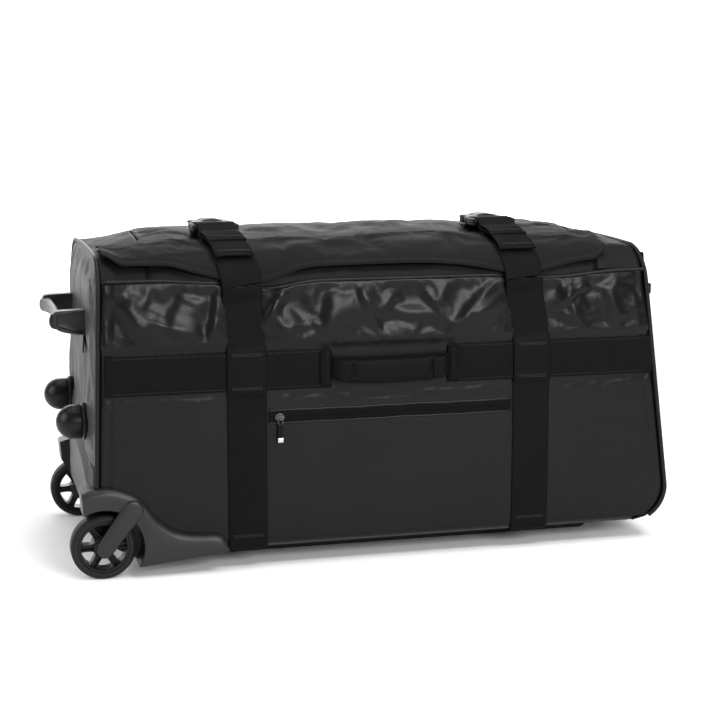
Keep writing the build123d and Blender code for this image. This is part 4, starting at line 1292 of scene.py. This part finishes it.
def arm_outline(grow, count=16):
    """Give the tapered outline of an axle cover's arm, grown or shrunk a little."""
    low, high = np.array([AXLE[0], AXLE[2]]), np.array(ARM_TOP)
    r_low, r_high = 10.0 + grow, 12.5 + grow
    run = high - low
    heading = math.atan2(run[1], run[0])
    lean = math.acos((r_low - r_high) / np.linalg.norm(run))
    outline = []
    for a in np.linspace(heading + lean, heading + 2 * math.pi - lean, count):
        outline.append(low + r_low * np.array([math.cos(a), math.sin(a)]))
    for a in np.linspace(heading - lean, heading + lean, count):
        outline.append(high + r_high * np.array([math.cos(a), math.sin(a)]))
    return np.array(outline)


def arm_shape(side, steps):
    """Give points and faces of an arm-shaped boss from (growth, distance out) steps."""
    points = [(x, side * y, z) for grow, y in steps for x, z in arm_outline(grow)]
    return points, closed_faces(len(steps), len(arm_outline(0)))


def axle_cover(side):
    """Make the arm that covers the axle's end, with a thin ring of darker plastic round it as painted shade in
    the parting gap.
    """
    steps = [(0, 174), (0, 181.0), (-0.35, 182.0), (-1.0, 182.7), (-2.2, 183.1), (-5.0, 183.5), (-8.0, 183.7)]
    arm, name = arm_shape(side, steps), SIDES[side]
    moulding(f"axle_cover_arm_{name}", arm, PLASTIC, "bag_body", "moulded_plastic", 50, f"axle_cover_{name}")
    # A thin ring of the darker buckle plastic round the arm's foot, just proud of the housing: painted shade
    # for the gap there.
    seat = arm_shape(side, [(0.75, 176), (0.75, HOUSING_OUT + 0.25), (-0.5, HOUSING_OUT + 0.3)])
    piece(f"axle_cover_shade_ring_{name}", *seat, BUCKLE, "bag_body", "moulded_plastic")


def wheel(side):
    """Make a wheel: rubber tyre, plastic rim, six channel-shaped spokes and a hub."""
    which = SIDES[side]
    low, high = span(f"tyre_{which}")
    centre, radius = (low + high) / 2, (high[2] - low[2]) / 2
    body, axis = f"{which}_wheel", (0, side, 0)
    half = [(7, radius), (9.2, radius - 0.4), (10.9, 38.2), (11.6, 36.2), (12, 35.6), (12, 32.2)]
    tread = [(-along, r) for along, r in half[::-1]] + half
    tyre = lathe(tread, centre, axis, 96)
    moulding(f"tyre_ring_{which}", tyre, TYRE, body, "tyre_rubber", 28, f"tyre_{which}")
    rim = [(-11.4, 28.6), (-11.4, 31.4), (-10.8, 32.2), (10.8, 32.2), (11.4, 31.4), (11.4, 28.6), (10.6, 28.0),
           (-10.6, 28.0)]
    hub = [(-10.5, 9.05), (-10.5, 12), (-9.5, 13.2), (8.5, 13.2), (9.8, 12.2), (10.5, 10.5), (10.5, 9.05)]
    shapes = [lathe(rim, centre, axis, 96), lathe(hub, centre, axis, 64)]
    for number in range(SPOKES):
        shapes.append(spoke(centre, side, math.radians(360 * number / SPOKES + 2)))
    name, node = f"wheel_spider_{which}", f"wheel_hub_{which}"
    moulding(name, join_shapes(shapes), RUBBER, body, "wheel_plastic", 35, node)


def spoke(centre, side, turn):
    """Give one spoke: a channel, open to the outside, that flares into the hub and the rim."""
    half_section = [(0.34, 3.5), (0.42, 6.5), (0.55, 8.2), (0.82, 8.4), (1, 7.6), (1, -8)]
    section = [(-across, out) for across, out in half_section[::-1]] + half_section
    points = []
    for r in np.linspace(12.2, 29.0, 10):
        half = 4.1 + 1.6 * math.exp(-(r - 12.2) / 1.8) + 1.8 * math.exp(-(29.0 - r) / 1.6)
        for across, out in section:
            x = centre[0] + r * math.cos(turn) - across * half * math.sin(turn)
            z = centre[2] + r * math.sin(turn) + across * half * math.cos(turn)
            points.append((x, centre[1] + side * out, z))
    return points, closed_faces(10, len(section))


def plain_nodes():
    """Give the CAD nodes that keep their shape their finishes, and round their edges."""
    finishes = {
        "wheel_axle_front": STEEL, "wheel_axle_back": STEEL,
        "wheel_bearings_front": STEEL, "wheel_bearings_back": STEEL,
        "skid_rail_front": PLASTIC, "skid_rail_back": PLASTIC, "base_board": PLASTIC,
        "outer_tubes": ALUMINIUM, "middle_tubes": ALUMINIUM, "inner_tubes": ALUMINIUM,
        "handle_bezel": PLASTIC, "trolley_grip": PLASTIC, "grip_button": BUCKLE,
    }
    for node, finish in finishes.items():
        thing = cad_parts[node]
        thing.data.materials.clear()
        thing.data.materials.append(finish)
    widths = {"skid_rail_front": 1.5, "skid_rail_back": 1.5, "handle_bezel": 0.8, "grip_button": 0.5}
    for node, width in widths.items():
        rounded(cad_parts[node], width)


# ------------------------------------------------------------------ wheel end: feet, handle and scuff panel


def domes():
    """Make the two rubber bumper feet: a flanged foot under a round dome."""
    low, high = span("bumper_domes")
    shapes = []
    for side in (FRONT, BACK):
        y, z = side * (high[1] - 23.5), (low[2] + high[2]) / 2
        seat = high[0] - low[0]
        profile = [(0, 0.01)]
        for a in np.linspace(8, 82, 10):
            r = math.radians(a)
            profile.append((21.5 * (1 - math.cos(r)), 21.5 * math.sin(r)))
        flange = [
            (9.5, 21.5), (7.5, 21.2), (6.9, 21.0), (6.3, 22.4), (5.4, 23.4), (1.0, 23.5), (0, 22.8), (0, 0.01),
        ]
        profile += [(seat - back, radius) for back, radius in flange]
        shapes.append(lathe(profile, (low[0], y, z), (1, 0, 0), 64))
    moulding("bumper_feet", join_shapes(shapes), RUBBER, "bag_body", "moulded_plastic", 45, "bumper_domes")


def loop_section(half_wide, half_tall, count, square):
    """Give a section between a rectangle (square near 0) and an ellipse (square = 1)."""
    section = []
    for i in range(count):
        a = 2 * math.pi * i / count
        c, d = (math.copysign(abs(t) ** square, t) for t in (math.cos(a), math.sin(a)))
        section.append((half_wide * c, half_tall * d))
    return section


def grab_handle():
    """Make the moulded grab handle: two deep brackets with recessed sides, and a waisted bar between them."""
    low, high = span("grab_handle")
    bar_x, z = low[0] + 6.8, (302 + 324) / 2
    half_y = high[1] - 7
    points = []
    for y in np.linspace(-half_y + 3, half_y - 3, 40):
        share = abs(y) / (half_y - 3)
        size, bow = 6.2 + 3.6 * share**3, 1 - share**2
        for a, b in loop_section(size * 0.95, size * 1.05, 20, 0.85):
            points.append((bar_x - 1.2 + 2.2 * bow + a, y, z - 1.5 + 3.0 * bow + b))
    shapes = [(points, closed_faces(40, 20))]
    for side in (FRONT, BACK):
        shapes.append(bracket(side, low, high, half_y, z))
    shape = join_shapes(shapes)
    moulding("grab_handle_moulding", shape, PLASTIC, "bag_body", "moulded_plastic", 35, "grab_handle")
    t = np.linspace(0, 22, 8)
    for side in (FRONT, BACK):
        tab = np.stack([high[0] - 4.5 - t * 0.12, side * (half_y - 6 + t * 0.35), 294 - t], -1)
        name = f"grab_handle_tab_{SIDES[side]}"
        webbing(name, tab, (-1, 0, 0), "bag_body", width=9, thick=1.4, seed=side)


def bracket(side, low, high, half_y, z):
    """Give one bracket: a frame that stands out from the bag, with its outer side sunk in."""
    inner, outer = side * (half_y - 9), side * (half_y + 7)
    back_x, front_x = high[0] - 1.0, low[0] + 1.5
    outline = curve_through([
        (back_x, z + 13), (back_x - 20, z + 12.5), (front_x + 2, z + 11), (front_x - 0.5, z + 3),
        (front_x, z - 7), (front_x + 9, z - 14), (back_x - 14, z - 18), (back_x, z - 19),
    ], 5)
    centre = outline.mean(axis=0)
    # Each ring's scale, its share of the way out, and how much it grows
    rings = [
        (1.0, 0.0, -1.6), (1.0, 0.04, 0.0), (1.0, 0.94, 0.0), (1.0, 1.0, -1.6),
        (1.0, 1.0, -4.2), (1.0, 0.96, -5.0), (1.0, 0.66, -5.6), (0.5, 0.6, -5.6),
    ]
    points = []
    for scale, along, grow in rings:
        for p in outline:
            reach = np.linalg.norm(p - centre)
            q = centre + (p - centre) * scale * (reach + grow) / reach
            points.append((q[0], inner + (outer - inner) * along, q[1]))
    return points, closed_faces(len(rings), len(outline))


def scuff_panel():
    """Make the ribbed wear panel low on the wheel end: curved stitched ribs over a mesh ground."""
    half_y = span("scuff_panel")[1][1] - 1.5
    low_z, rib_step = 68, 6.0
    u, v = np.meshgrid(spaced(-1, 1, 0.011), spaced(0, 1, 0.008))
    y = u * half_y
    top = 136 + 36 * (1 - np.abs(u) ** 1.8)
    z = low_z + (top - low_z) * v
    depth = top - z
    ribs = np.abs(np.sin(math.pi * depth / rib_step))
    ridges = 0.9 * ribs * smooth_step(48, 40, depth) * smooth_step(0.5, 2, depth)

    def ground(y, z):
        """Give the x of the fabric under the panel."""
        border = np.minimum(HALF - np.abs(y), 60)
        return wheel_edge(z) - end_bulge(border, z) + 2.4 * np.exp(-border / 3.0)

    x = ground(y, z) - 1.6 - ridges + 1.4 * np.exp(-np.minimum(depth, 9) / 0.7)
    points = np.stack([x, y, z], -1).reshape(-1, 3)
    made = piece("scuff_panel_ribbed", points, grid_faces(*x.shape), SCUFF, "bag_body", "moulded_plastic")
    cut_for_wheels(made, 138)
    thicken(made, 1.0)
    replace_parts(made, "scuff_panel")
    u = np.linspace(-0.93, 0.93, 150)
    for number in range(6):
        z = 136 + 36 * (1 - np.abs(u) ** 1.8) - 3.0 - rib_step * number
        row = np.stack([ground(u * half_y, z) - 2.55, u * half_y, z], -1)[8:-8]
        stitches(f"scuff_stitches_{number}", row, (-1, 0, 0), "bag_body", length=2.6, gap=1.2)


# ------------------------------------------------------------------ buckles


def buckle_socket(which):
    """Make a buckle's socket: a hollow body with side windows, a domed middle and a webbing bar."""
    low, high = span(f"buckle_socket_{which}")
    x, half = (low[0] + high[0]) / 2, (high[0] - low[0]) / 2
    columns, rows = 25, 15
    u, v = np.meshgrid(np.linspace(-1, 1, columns), np.linspace(0, 1, rows))
    waist = half - 4.0 * hill(v, 0.42, 0.24) - 5.5 * smooth_step(0.72, 1.0, v)
    dome = 3.4 * np.sqrt(np.clip(1 - (u / 0.52) ** 2, 0, None))
    dome = dome * smooth_step(0.98, 0.7, v) * smooth_step(-0.05, 0.12, v)
    edge = 2.6 * (1 - np.sqrt(1 - np.clip((np.abs(u) - 0.86) / 0.14, 0, 1) ** 2))
    upper_z = high[2] - 0.4 + dome - edge - 1.4 * smooth_step(0.93, 1.0, v)
    lower_z = np.full(u.shape, high[2] - 3.0)
    x_grid, y_grid = x + waist * u, low[1] + (high[1] - low[1]) * v
    points = np.vstack([np.stack([x_grid, y_grid, z], -1).reshape(-1, 3) for z in (upper_z, lower_z)])
    top = rows * columns
    faces = grid_faces(rows, columns) + grid_faces(rows, columns, first=top)
    rim = [j * columns for j in range(rows)] + [(rows - 1) * columns + i for i in range(1, columns)]
    rim += [j * columns + columns - 1 for j in range(rows - 2, -1, -1)] + list(range(columns - 2, 0, -1))
    faces += [(a, b, b + top, a + top) for a, b in zip(rim, rim[1:] + rim[:1])]
    shapes = [(points, faces)]
    z_low, z_high = low[2] + 1, high[2] - 1.6
    shapes.append(slab((x - half + 1, low[1] + 1, low[2]), (x + half - 1, high[1] - 3, low[2] + 2.6), 5))
    for end in (-1, 1):
        near, far = (half - 0.4, half - 4.4), (half - 4.5, half - 9.5)
        shapes.append(slab((x + end * near[0], low[1], z_low), (x + end * near[1], low[1] + 9, z_high), 1.5))
        shapes.append(slab((x + end * far[0], low[1] + 26, z_low), (x + end * far[1], high[1] - 2, z_high), 2))
    shapes.append(slab((x - half + 8, high[1] - 7, z_low), (x + half - 8, high[1] - 1, high[2] - 1.8), 2.5))
    name = f"buckle_socket_body_{which}"
    moulding(name, join_shapes(shapes), BUCKLE, "lid", "buckle_plastic", 38, f"buckle_socket_{which}")


def buckle_plug(which):
    """Make a buckle's plug: a ladder of webbing bars and three prongs that reach into the socket."""
    low, high = span(f"buckle_plug_{which}")
    x = (low[0] + high[0]) / 2
    half = (high[0] - low[0]) / 2
    front, tip = low[1], high[1]
    shoulder, prong_z = front + 30.5, 424.4
    body = f"strap_end_{which}"
    shapes = []
    for end in (-1, 1):
        corner = (x + end * (half - 3.4), shoulder, high[2] - 1.2)
        shapes.append(slab((x + end * half, front + 1.5, low[2]), corner, 1.6))
    shapes.append(slab((x - half + 1, shoulder - 6.5, low[2]), (x + half - 1, shoulder, high[2]), 2.2))
    for bar_y, drop in ((front + 2.6, 1.0), (front + 13.0, 3.0)):
        bar = [(-2.3, 0), (-1.9, 2.6), (0, 3.4), (1.9, 2.6), (2.3, 0), (1.6, -2.4), (0, -3.0), (-1.6, -2.4)]
        bar_x, bar_z = (x - half + 1.5, x + half - 1.5), high[2] - 4.4 - drop
        shapes.append(([(px, bar_y + a, bar_z + b) for px in bar_x for a, b in bar], closed_faces(2, len(bar))))
    for prong_x, wide in ((-20, 3.5), (0, 3.0), (20, 3.5)):
        points = []
        for y in np.linspace(shoulder - 1, tip, 9):
            share = (y - shoulder) / (tip - shoulder)
            spread = 1.8 * math.sin(math.pi * max(0, share)) * np.sign(prong_x)
            thick = wide * (1 - 0.35 * max(0, share))
            for a, b in loop_section(thick, 3.2 - 0.8 * max(0, share), 12, 0.6):
                points.append((x + prong_x + spread + a, y, prong_z + b))
        shapes.append((points, closed_faces(9, 12)))
    name = f"buckle_plug_body_{which}"
    moulding(name, join_shapes(shapes), BUCKLE, body, "buckle_plastic", 38, f"buckle_plug_{which}")


for side in (FRONT, BACK):
    housing(side)
    axle_cover(side)
    wheel(side)
plain_nodes()
domes()
grab_handle()
scuff_panel()
for which in STRAPS:
    buckle_socket(which)
    buckle_plug(which)


# ------------------------------------------------------------------ handle end: straps, locks and handle


def ribbon_on_end(name, z_from, z_to, y, width_from, width_to, out):
    """Sew a smooth tapering strip to the handle end, at one side."""
    u, share = np.meshgrid(np.linspace(-1, 1, 9), np.linspace(0, 1, 26))
    z = z_from + (z_to - z_from) * share
    ys = y + u * (width_from + (width_to - width_from) * share) / 2
    xs = handle_edge(z) + out + 0.5 * (1 - u**2)
    points = np.stack([xs, ys, z], -1).reshape(-1, 3)
    return thicken(piece(name, points, grid_faces(*z.shape), TARPAULIN, "bag_body", "webbing"), 1.2)


def end_fittings():
    """Make the short straps and ladder locks at the two sides of the handle end."""
    low, high = span("ladder_locks")
    z = (low[2] + high[2]) / 2
    y = high[1] - 23
    for side in (FRONT, BACK):
        which = SIDES[side]
        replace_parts(ribbon_on_end(f"end_tab_{which}", 386, z + 4, side * y, 46, 36, 1.4), "end_straps")
        zs = np.linspace(z - 1, 258, 40)
        xs = handle_edge(zs) + 1.0 + 2.2 * np.exp(-(z - 1 - zs) / 6)
        path = np.stack([xs, np.full(40, side * y), zs], -1)
        webbing(f"end_strap_web_{which}", path, (1, 0, 0.1), "bag_body", width=36, thick=1.6, seed=side * 7)
        foot = np.array([handle_edge(264) + 3.0, side * y, 264])
        bar_tack(f"end_strap_tack_{which}", foot, (0, 0, 1), (0, 1, 0), (1, 0, 0), "bag_body", length=30)
        shapes = []
        for end in (-1, 1):
            corner = (high[0], side * y + end * 19, z + 7)
            shapes.append(slab((low[0], side * y + end * 23, z - 7), corner, 1.2))
        for bar_z, deep in ((z + 6, 4.6), (z, 4.0), (z - 6, 5.2)):
            corner = (low[0] + deep, side * y + 20, bar_z + 1.7)
            shapes.append(slab((low[0], side * y - 20, bar_z - 1.7), corner, 1.4))
        name, shape = f"ladder_lock_{which}", join_shapes(shapes)
        moulding(name, shape, BUCKLE, "bag_body", "buckle_plastic", 40, "ladder_locks")


def end_handle():
    """Make the padded handle on the handle end: a webbing loop with a wrapped grip."""
    low, high = span("end_carry_handle")
    z_mid = (low[2] + high[2]) / 2
    half = (high[2] - low[2]) / 2
    zs = z_mid + half * np.cos(np.linspace(0, math.pi, 60))
    share = (zs - z_mid) / half
    out = high[0] - 4.6
    xs = np.minimum(out, handle_edge(zs) + 3.0 + 24 * np.clip(1 - np.abs(share), 0, 1) ** 0.8)
    path = np.stack([xs, np.zeros(60), zs], -1)
    webbing("end_handle_web", path, (1, 0, 0), "end_grip", width=25, seed=9)
    rings, reach = [], 29
    for z in np.linspace(z_mid - reach, z_mid + reach, 34):
        pinch = 1 - 0.25 * math.exp(-(reach - abs(z - z_mid)) / 3)
        for a, b in loop_section(3.4 * pinch, 14.5 * pinch, 20, 0.7):
            rings.append((high[0] - 3.5 + a, b, z))
    grip = piece("end_handle_pad", rings, closed_faces(34, 20), WEBBING, "end_grip", "webbing")
    heights = np.array([v.co.z for v in grip.data.vertices]) / MM
    held = 1 - smooth_step(1, 5, reach - np.abs(heights - z_mid))
    settle(grip, held, pressure=1.5, slack=0.015, frames=12, cap=1.0)
    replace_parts(grip, "end_carry_handle")
    for end in (-1, 1):
        z_patch = np.linspace(z_mid + end * (half + 1), z_mid + end * (half + 22), 16)
        x_patch = handle_edge(z_patch) + 0.6 + 1.6 * np.exp(-np.abs(z_patch - z_patch[0]) / 4)
        patch = np.stack([x_patch, np.zeros(16), z_patch], -1)
        name = "top" if end > 0 else "low"
        webbing(f"end_handle_patch_{name}", patch, (1, 0, 0.1), "bag_body", width=27, thick=1.6, seed=end * 11)
        centre = (handle_edge(z_patch[9]) + 2.6, 0, z_patch[9])
        bar_tack(f"end_handle_tack_{name}", centre, (0, 0, 1), (0, 1, 0), (1, 0, 0), "bag_body", length=22)


# ------------------------------------------------------------------ zips


def zip_band(name, place, start, end, half_tape, finish, slot_name, teeth=1.5):
    """Make a zip from start to end: cloth tape on both sides of a raised coil of fine teeth.

    place(along, across, out) gives the point on the bag.
    """
    step = teeth / 3
    along = np.arange(start, end, step)
    # Half the section, from the tape's edge to the middle: place across, height, share of the teeth's wave
    half = np.array([
        (-half_tape, 0.0, 0), (-half_tape + 0.8, 0.55, 0), (-3.2, 0.65, 0), (-2.9, 1.0, 0.5), (-1.6, 1.75, 1),
        (-0.35, 1.25, 0.8), (0, 0.7, 0),
    ])
    across, lift, rough = np.vstack([half, half[-2::-1] * (-1, 1, 1)]).T
    u, v = np.meshgrid(along, np.arange(len(across)))
    waves = np.sin(2 * math.pi * u / teeth + np.where(across[v] > 0, math.pi, 0)) * 0.28 * rough[v]
    points = place(u, across[v], lift[v] + waves)
    made = piece(name, points.reshape(-1, 3), grid_faces(*u.shape), finish, "bag_body", slot_name)
    return thicken(made, 0.5)


def pocket_place(x, across, out):
    """Give a point on the front at the pocket's zip."""
    low, high = span("pocket_zip_tape")
    return front_point(x, (low[2] + high[2]) / 2 + across, out + 0.15)


def pocket_zip():
    """Make the pocket's zip across the front, with its welts and its rows of stitches."""
    low, high = span("pocket_zip_tape")
    z = (low[2] + high[2]) / 2
    made = zip_band("pocket_zip_coil", pocket_place, low[0] + 1, high[0] - 1, 7.0, ZIP_CLOTH, "webbing")
    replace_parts(made, "pocket_zip_tape")
    x = np.linspace(low[0] + 1, high[0] - 1, 120)
    for edge, radius, name in ((8.0, 1.5, "top"), (-8.0, 1.3, "low")):
        wave = 0.25 * np.sin(x / 23) + 0.2 * np.sin(x / 9 + edge)
        path = front_point(x, z + edge + wave, 0.1)
        tube(f"pocket_welt_{name}", path, radius, TARPAULIN, "bag_body", "tarpaulin", squash=0.7)
    for edge, width, height, name in ((12.0, 0.7, 0.35, "top"), (-11.5, 0.5, 0.2, "low")):
        row = front_point(x[2:-2], z + edge, 0.1)
        stitches(f"pocket_stitches_{name}", row, (0, -1, 0), "bag_body", 2.0, 1.5, width, height)


def slider_shape(half_x, half_z, thick):
    """Give a zip slider's outline as a flat rounded shield, with its bridge, about the origin (y is out)."""
    outline = []
    for a in np.linspace(0, 2 * math.pi, 28, endpoint=False):
        waist = 1 - 0.16 * math.sin(a) ** 2 * (1 if math.cos(a) > 0 else 0.4)
        up = math.copysign(abs(math.sin(a)) ** 0.7, math.sin(a))
        outline.append((half_x * math.cos(a) * waist, half_z * up))
    rings = [(0.9, 0.0), (1.0, 0.5), (1.0, thick - 0.6), (0.88, thick)]
    points = [(x * scale, y, z * scale) for scale, y in rings for x, z in outline]
    return points, closed_faces(4, len(outline))


def moved(shape, origin, out=(0, -1, 0)):
    """Place a shape made about the origin: its x stays, and its y runs along out."""
    right, out, origin = (np.asarray(v, float) for v in ((1, 0, 0), out, origin))
    up = np.cross(right, -out)
    points, faces = shape
    return [tuple(origin + right * x + out * y + up * z) for x, y, z in points], faces


def ring_shape(radius, thick, centre, count=24, sides=8):
    """Give a torus that lies in the x-z plane."""
    points = []
    for a in np.linspace(0, 2 * math.pi, count, endpoint=False):
        for b in np.linspace(0, 2 * math.pi, sides, endpoint=False):
            r = radius + thick * math.cos(b)
            y = centre[1] + thick * math.sin(b)
            points.append((centre[0] + r * math.cos(a), y, centre[2] + r * math.sin(a)))
    faces = []
    for i in range(count):
        for j in range(sides):
            k = (i + 1) % count
            m = (j + 1) % sides
            faces.append((i * sides + j, k * sides + j, k * sides + m, i * sides + m))
    return points, faces


def bail_shape(half_x, z, height):
    """Give the bridge over a slider that its puller hangs on."""
    half = [(0.5, 1.0), (0.9, 0.7), (1.0, 0.0)]
    path = [(-across, up) for across, up in half[::-1]] + half
    points = []
    for across, up in path:
        for a, b in loop_section(0.75, 1.25, 8, 0.8):
            points.append((half_x * across, height * up + a, z + b))
    return points, closed_faces(len(path), 8)


def pocket_runner():
    """Make the pocket zip's metal slider, and its puller: a ring, a flat strap and a bright metal tip."""
    low, high = span("pocket_zip_slider")
    x, z = (low[0] + high[0]) / 2, (low[2] + high[2]) / 2
    body = slider_shape(6.0, 4.8, 2.4)
    origin = (x, high[1] - 0.2, z)
    shape = join_shapes([moved(body, origin), moved(bail_shape(4.6, 0.9, 1.5), (x, high[1] - 2.4, z))])
    moulding("pocket_slider_body", shape, GUNMETAL, "pocket_slider", "zip_metal", 35, "pocket_zip_slider")
    low, high = span("pocket_zip_puller")
    y = (low[1] + high[1]) / 2
    ring = ring_shape(3.1, 0.75, (x, y, high[2] - 4.2))
    made = piece("pocket_puller_ring", *ring, GUNMETAL, "pocket_puller", "zip_metal")
    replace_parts(made, "pocket_zip_puller")
    zs = np.linspace(high[2] - 6.5, low[2] + 5.5, 14)
    strap = np.stack([np.full(14, x), np.full(14, y + 0.6), zs], -1)
    webbing(
        "pocket_puller_strap", strap, (0, -1, 0), "pocket_puller",
        width=6.2, thick=1.3, rib=0.12, finish=PULLER_CLOTH,
    )
    tip = slab((x - 3.6, low[1] - 0.1, low[2]), (x + 3.6, high[1] + 0.1, low[2] + 6.4), 0.6)
    piece("pocket_puller_tip", *tip, TIP_METAL, "pocket_puller", "zip_metal")


def top_place(x, across, out):
    """Give a point on the top at the main zip, between the gusset and the lid's front edge."""
    return over_top(x, across - ZIP_ARC, out + 1.6)


def main_zip():
    """Make the lid's zip under the storm flap, with its slider and a plain puller."""
    low, high = span("main_zip_tape")
    made = zip_band("main_zip_coil", top_place, low[0] + 3, high[0] - 3, 6.0, ZIP_CLOTH, "webbing", teeth=2.4)
    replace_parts(made, "main_zip_tape")
    low, high = span("main_zip_slider")
    x = (low[0] + high[0]) / 2
    base, out = over_top(x, -ZIP_ARC, 2.6), top_out(x, -ZIP_ARC)
    shape = join_shapes([
        moved(slider_shape(7.0, 4.6, 2.2), base, out),
        moved(bail_shape(5.0, 0, 3.4), base, out),
        moved(slider_shape(8.0, 2.6, 0.9), base + (-10.5, 0, 0) + out * 2.6, out),
    ])
    moulding("main_slider_body", shape, GUNMETAL, "main_slider", "zip_metal", 35, "main_zip_slider")

end_fittings()
end_handle()
pocket_zip()
pocket_runner()
main_zip()


# ------------------------------------------------------------------ camera, light and floor


def stage_sheet():
    """Make the pale floor, which curves up far behind the bag."""
    made, tree, shader = start_material("pale floor", specular=0.2)
    at = add(tree, "ShaderNodeTexCoord").outputs["Object"]
    cloud = noise_at(tree, at, 900, detail=3)
    set_colour(tree, shader, 0.86, 0.9, cloud, tint=0.0)
    shader.inputs["Roughness"].default_value = 0.7
    reach, cove_y, cove_radius, wall_top = 9000.0, 5500.0, 1500.0, 6000.0
    profile = [(-reach, 0.0), (cove_y, 0.0)]
    for i in range(1, 13):
        a = math.radians(90 * i / 12)
        profile.append((cove_y + cove_radius * math.sin(a), cove_radius * (1 - math.cos(a))))
    profile.append((cove_y + cove_radius, wall_top))
    points = [(x, y, z) for y, z in profile for x in (-reach, reach)]
    piece("studio_floor", points, grid_faces(len(profile), 2), made, None)


def light(name, place, target, size, tall, power):
    """Add a soft rectangular light that faces a target; sizes in metres."""
    data = bpy.data.lights.new(name, "AREA")
    data.shape = "RECTANGLE"
    data.size, data.size_y, data.energy = size, tall, power
    lamp = bpy.data.objects.new(name, data)
    lamp.location = place
    lamp.rotation_euler = (Vector(target) - Vector(place)).to_track_quat("-Z", "Y").to_euler()
    bpy.context.scene.collection.objects.link(lamp)


def build_studio():
    """Place the floor, the lights, the dim surroundings and the camera."""
    stage_sheet()
    world = bpy.data.worlds.new("studio")
    bpy.context.scene.world = world
    world.use_nodes = True
    background = world.node_tree.nodes["Background"]
    background.inputs["Color"].default_value = (1, 1, 1, 1)
    background.inputs["Strength"].default_value = 0.3
    light("top_softbox", (0.1, 0.1, 2.6), (0, 0, 0.2), 2.4, 1.8, 52)
    light("left_softbox", (-2.4, -0.3, 1.3), (-0.2, 0, 0.25), 1.6, 1.6, 40)
    light("front_fill", (0.7, -3.0, 1.32), (0, 0, 0.25), 1.3, 0.9, 80)
    light("crease_light", (0.9, -1.5, 2.2), (0, -0.1, 0.3), 0.8, 0.5, 30)
    light("wall_light", (1.6, 4.0, 3.4), (1.7, 7.0, 0.9), 5.0, 1.4, 620)
    data = bpy.data.cameras.new("camera")
    data.lens, data.sensor_width = 81.3, 36
    data.clip_start, data.clip_end = 0.05, 50
    camera = bpy.data.objects.new("camera", data)
    camera.location = (-0.5465, -2.1183, 0.5915)
    camera.rotation_euler = (math.radians(90 - 9.324), 0, math.radians(-14.922))
    bpy.context.scene.collection.objects.link(camera)
    bpy.context.scene.camera = camera
    bpy.context.scene.view_settings.view_transform = "Standard"


build_studio()
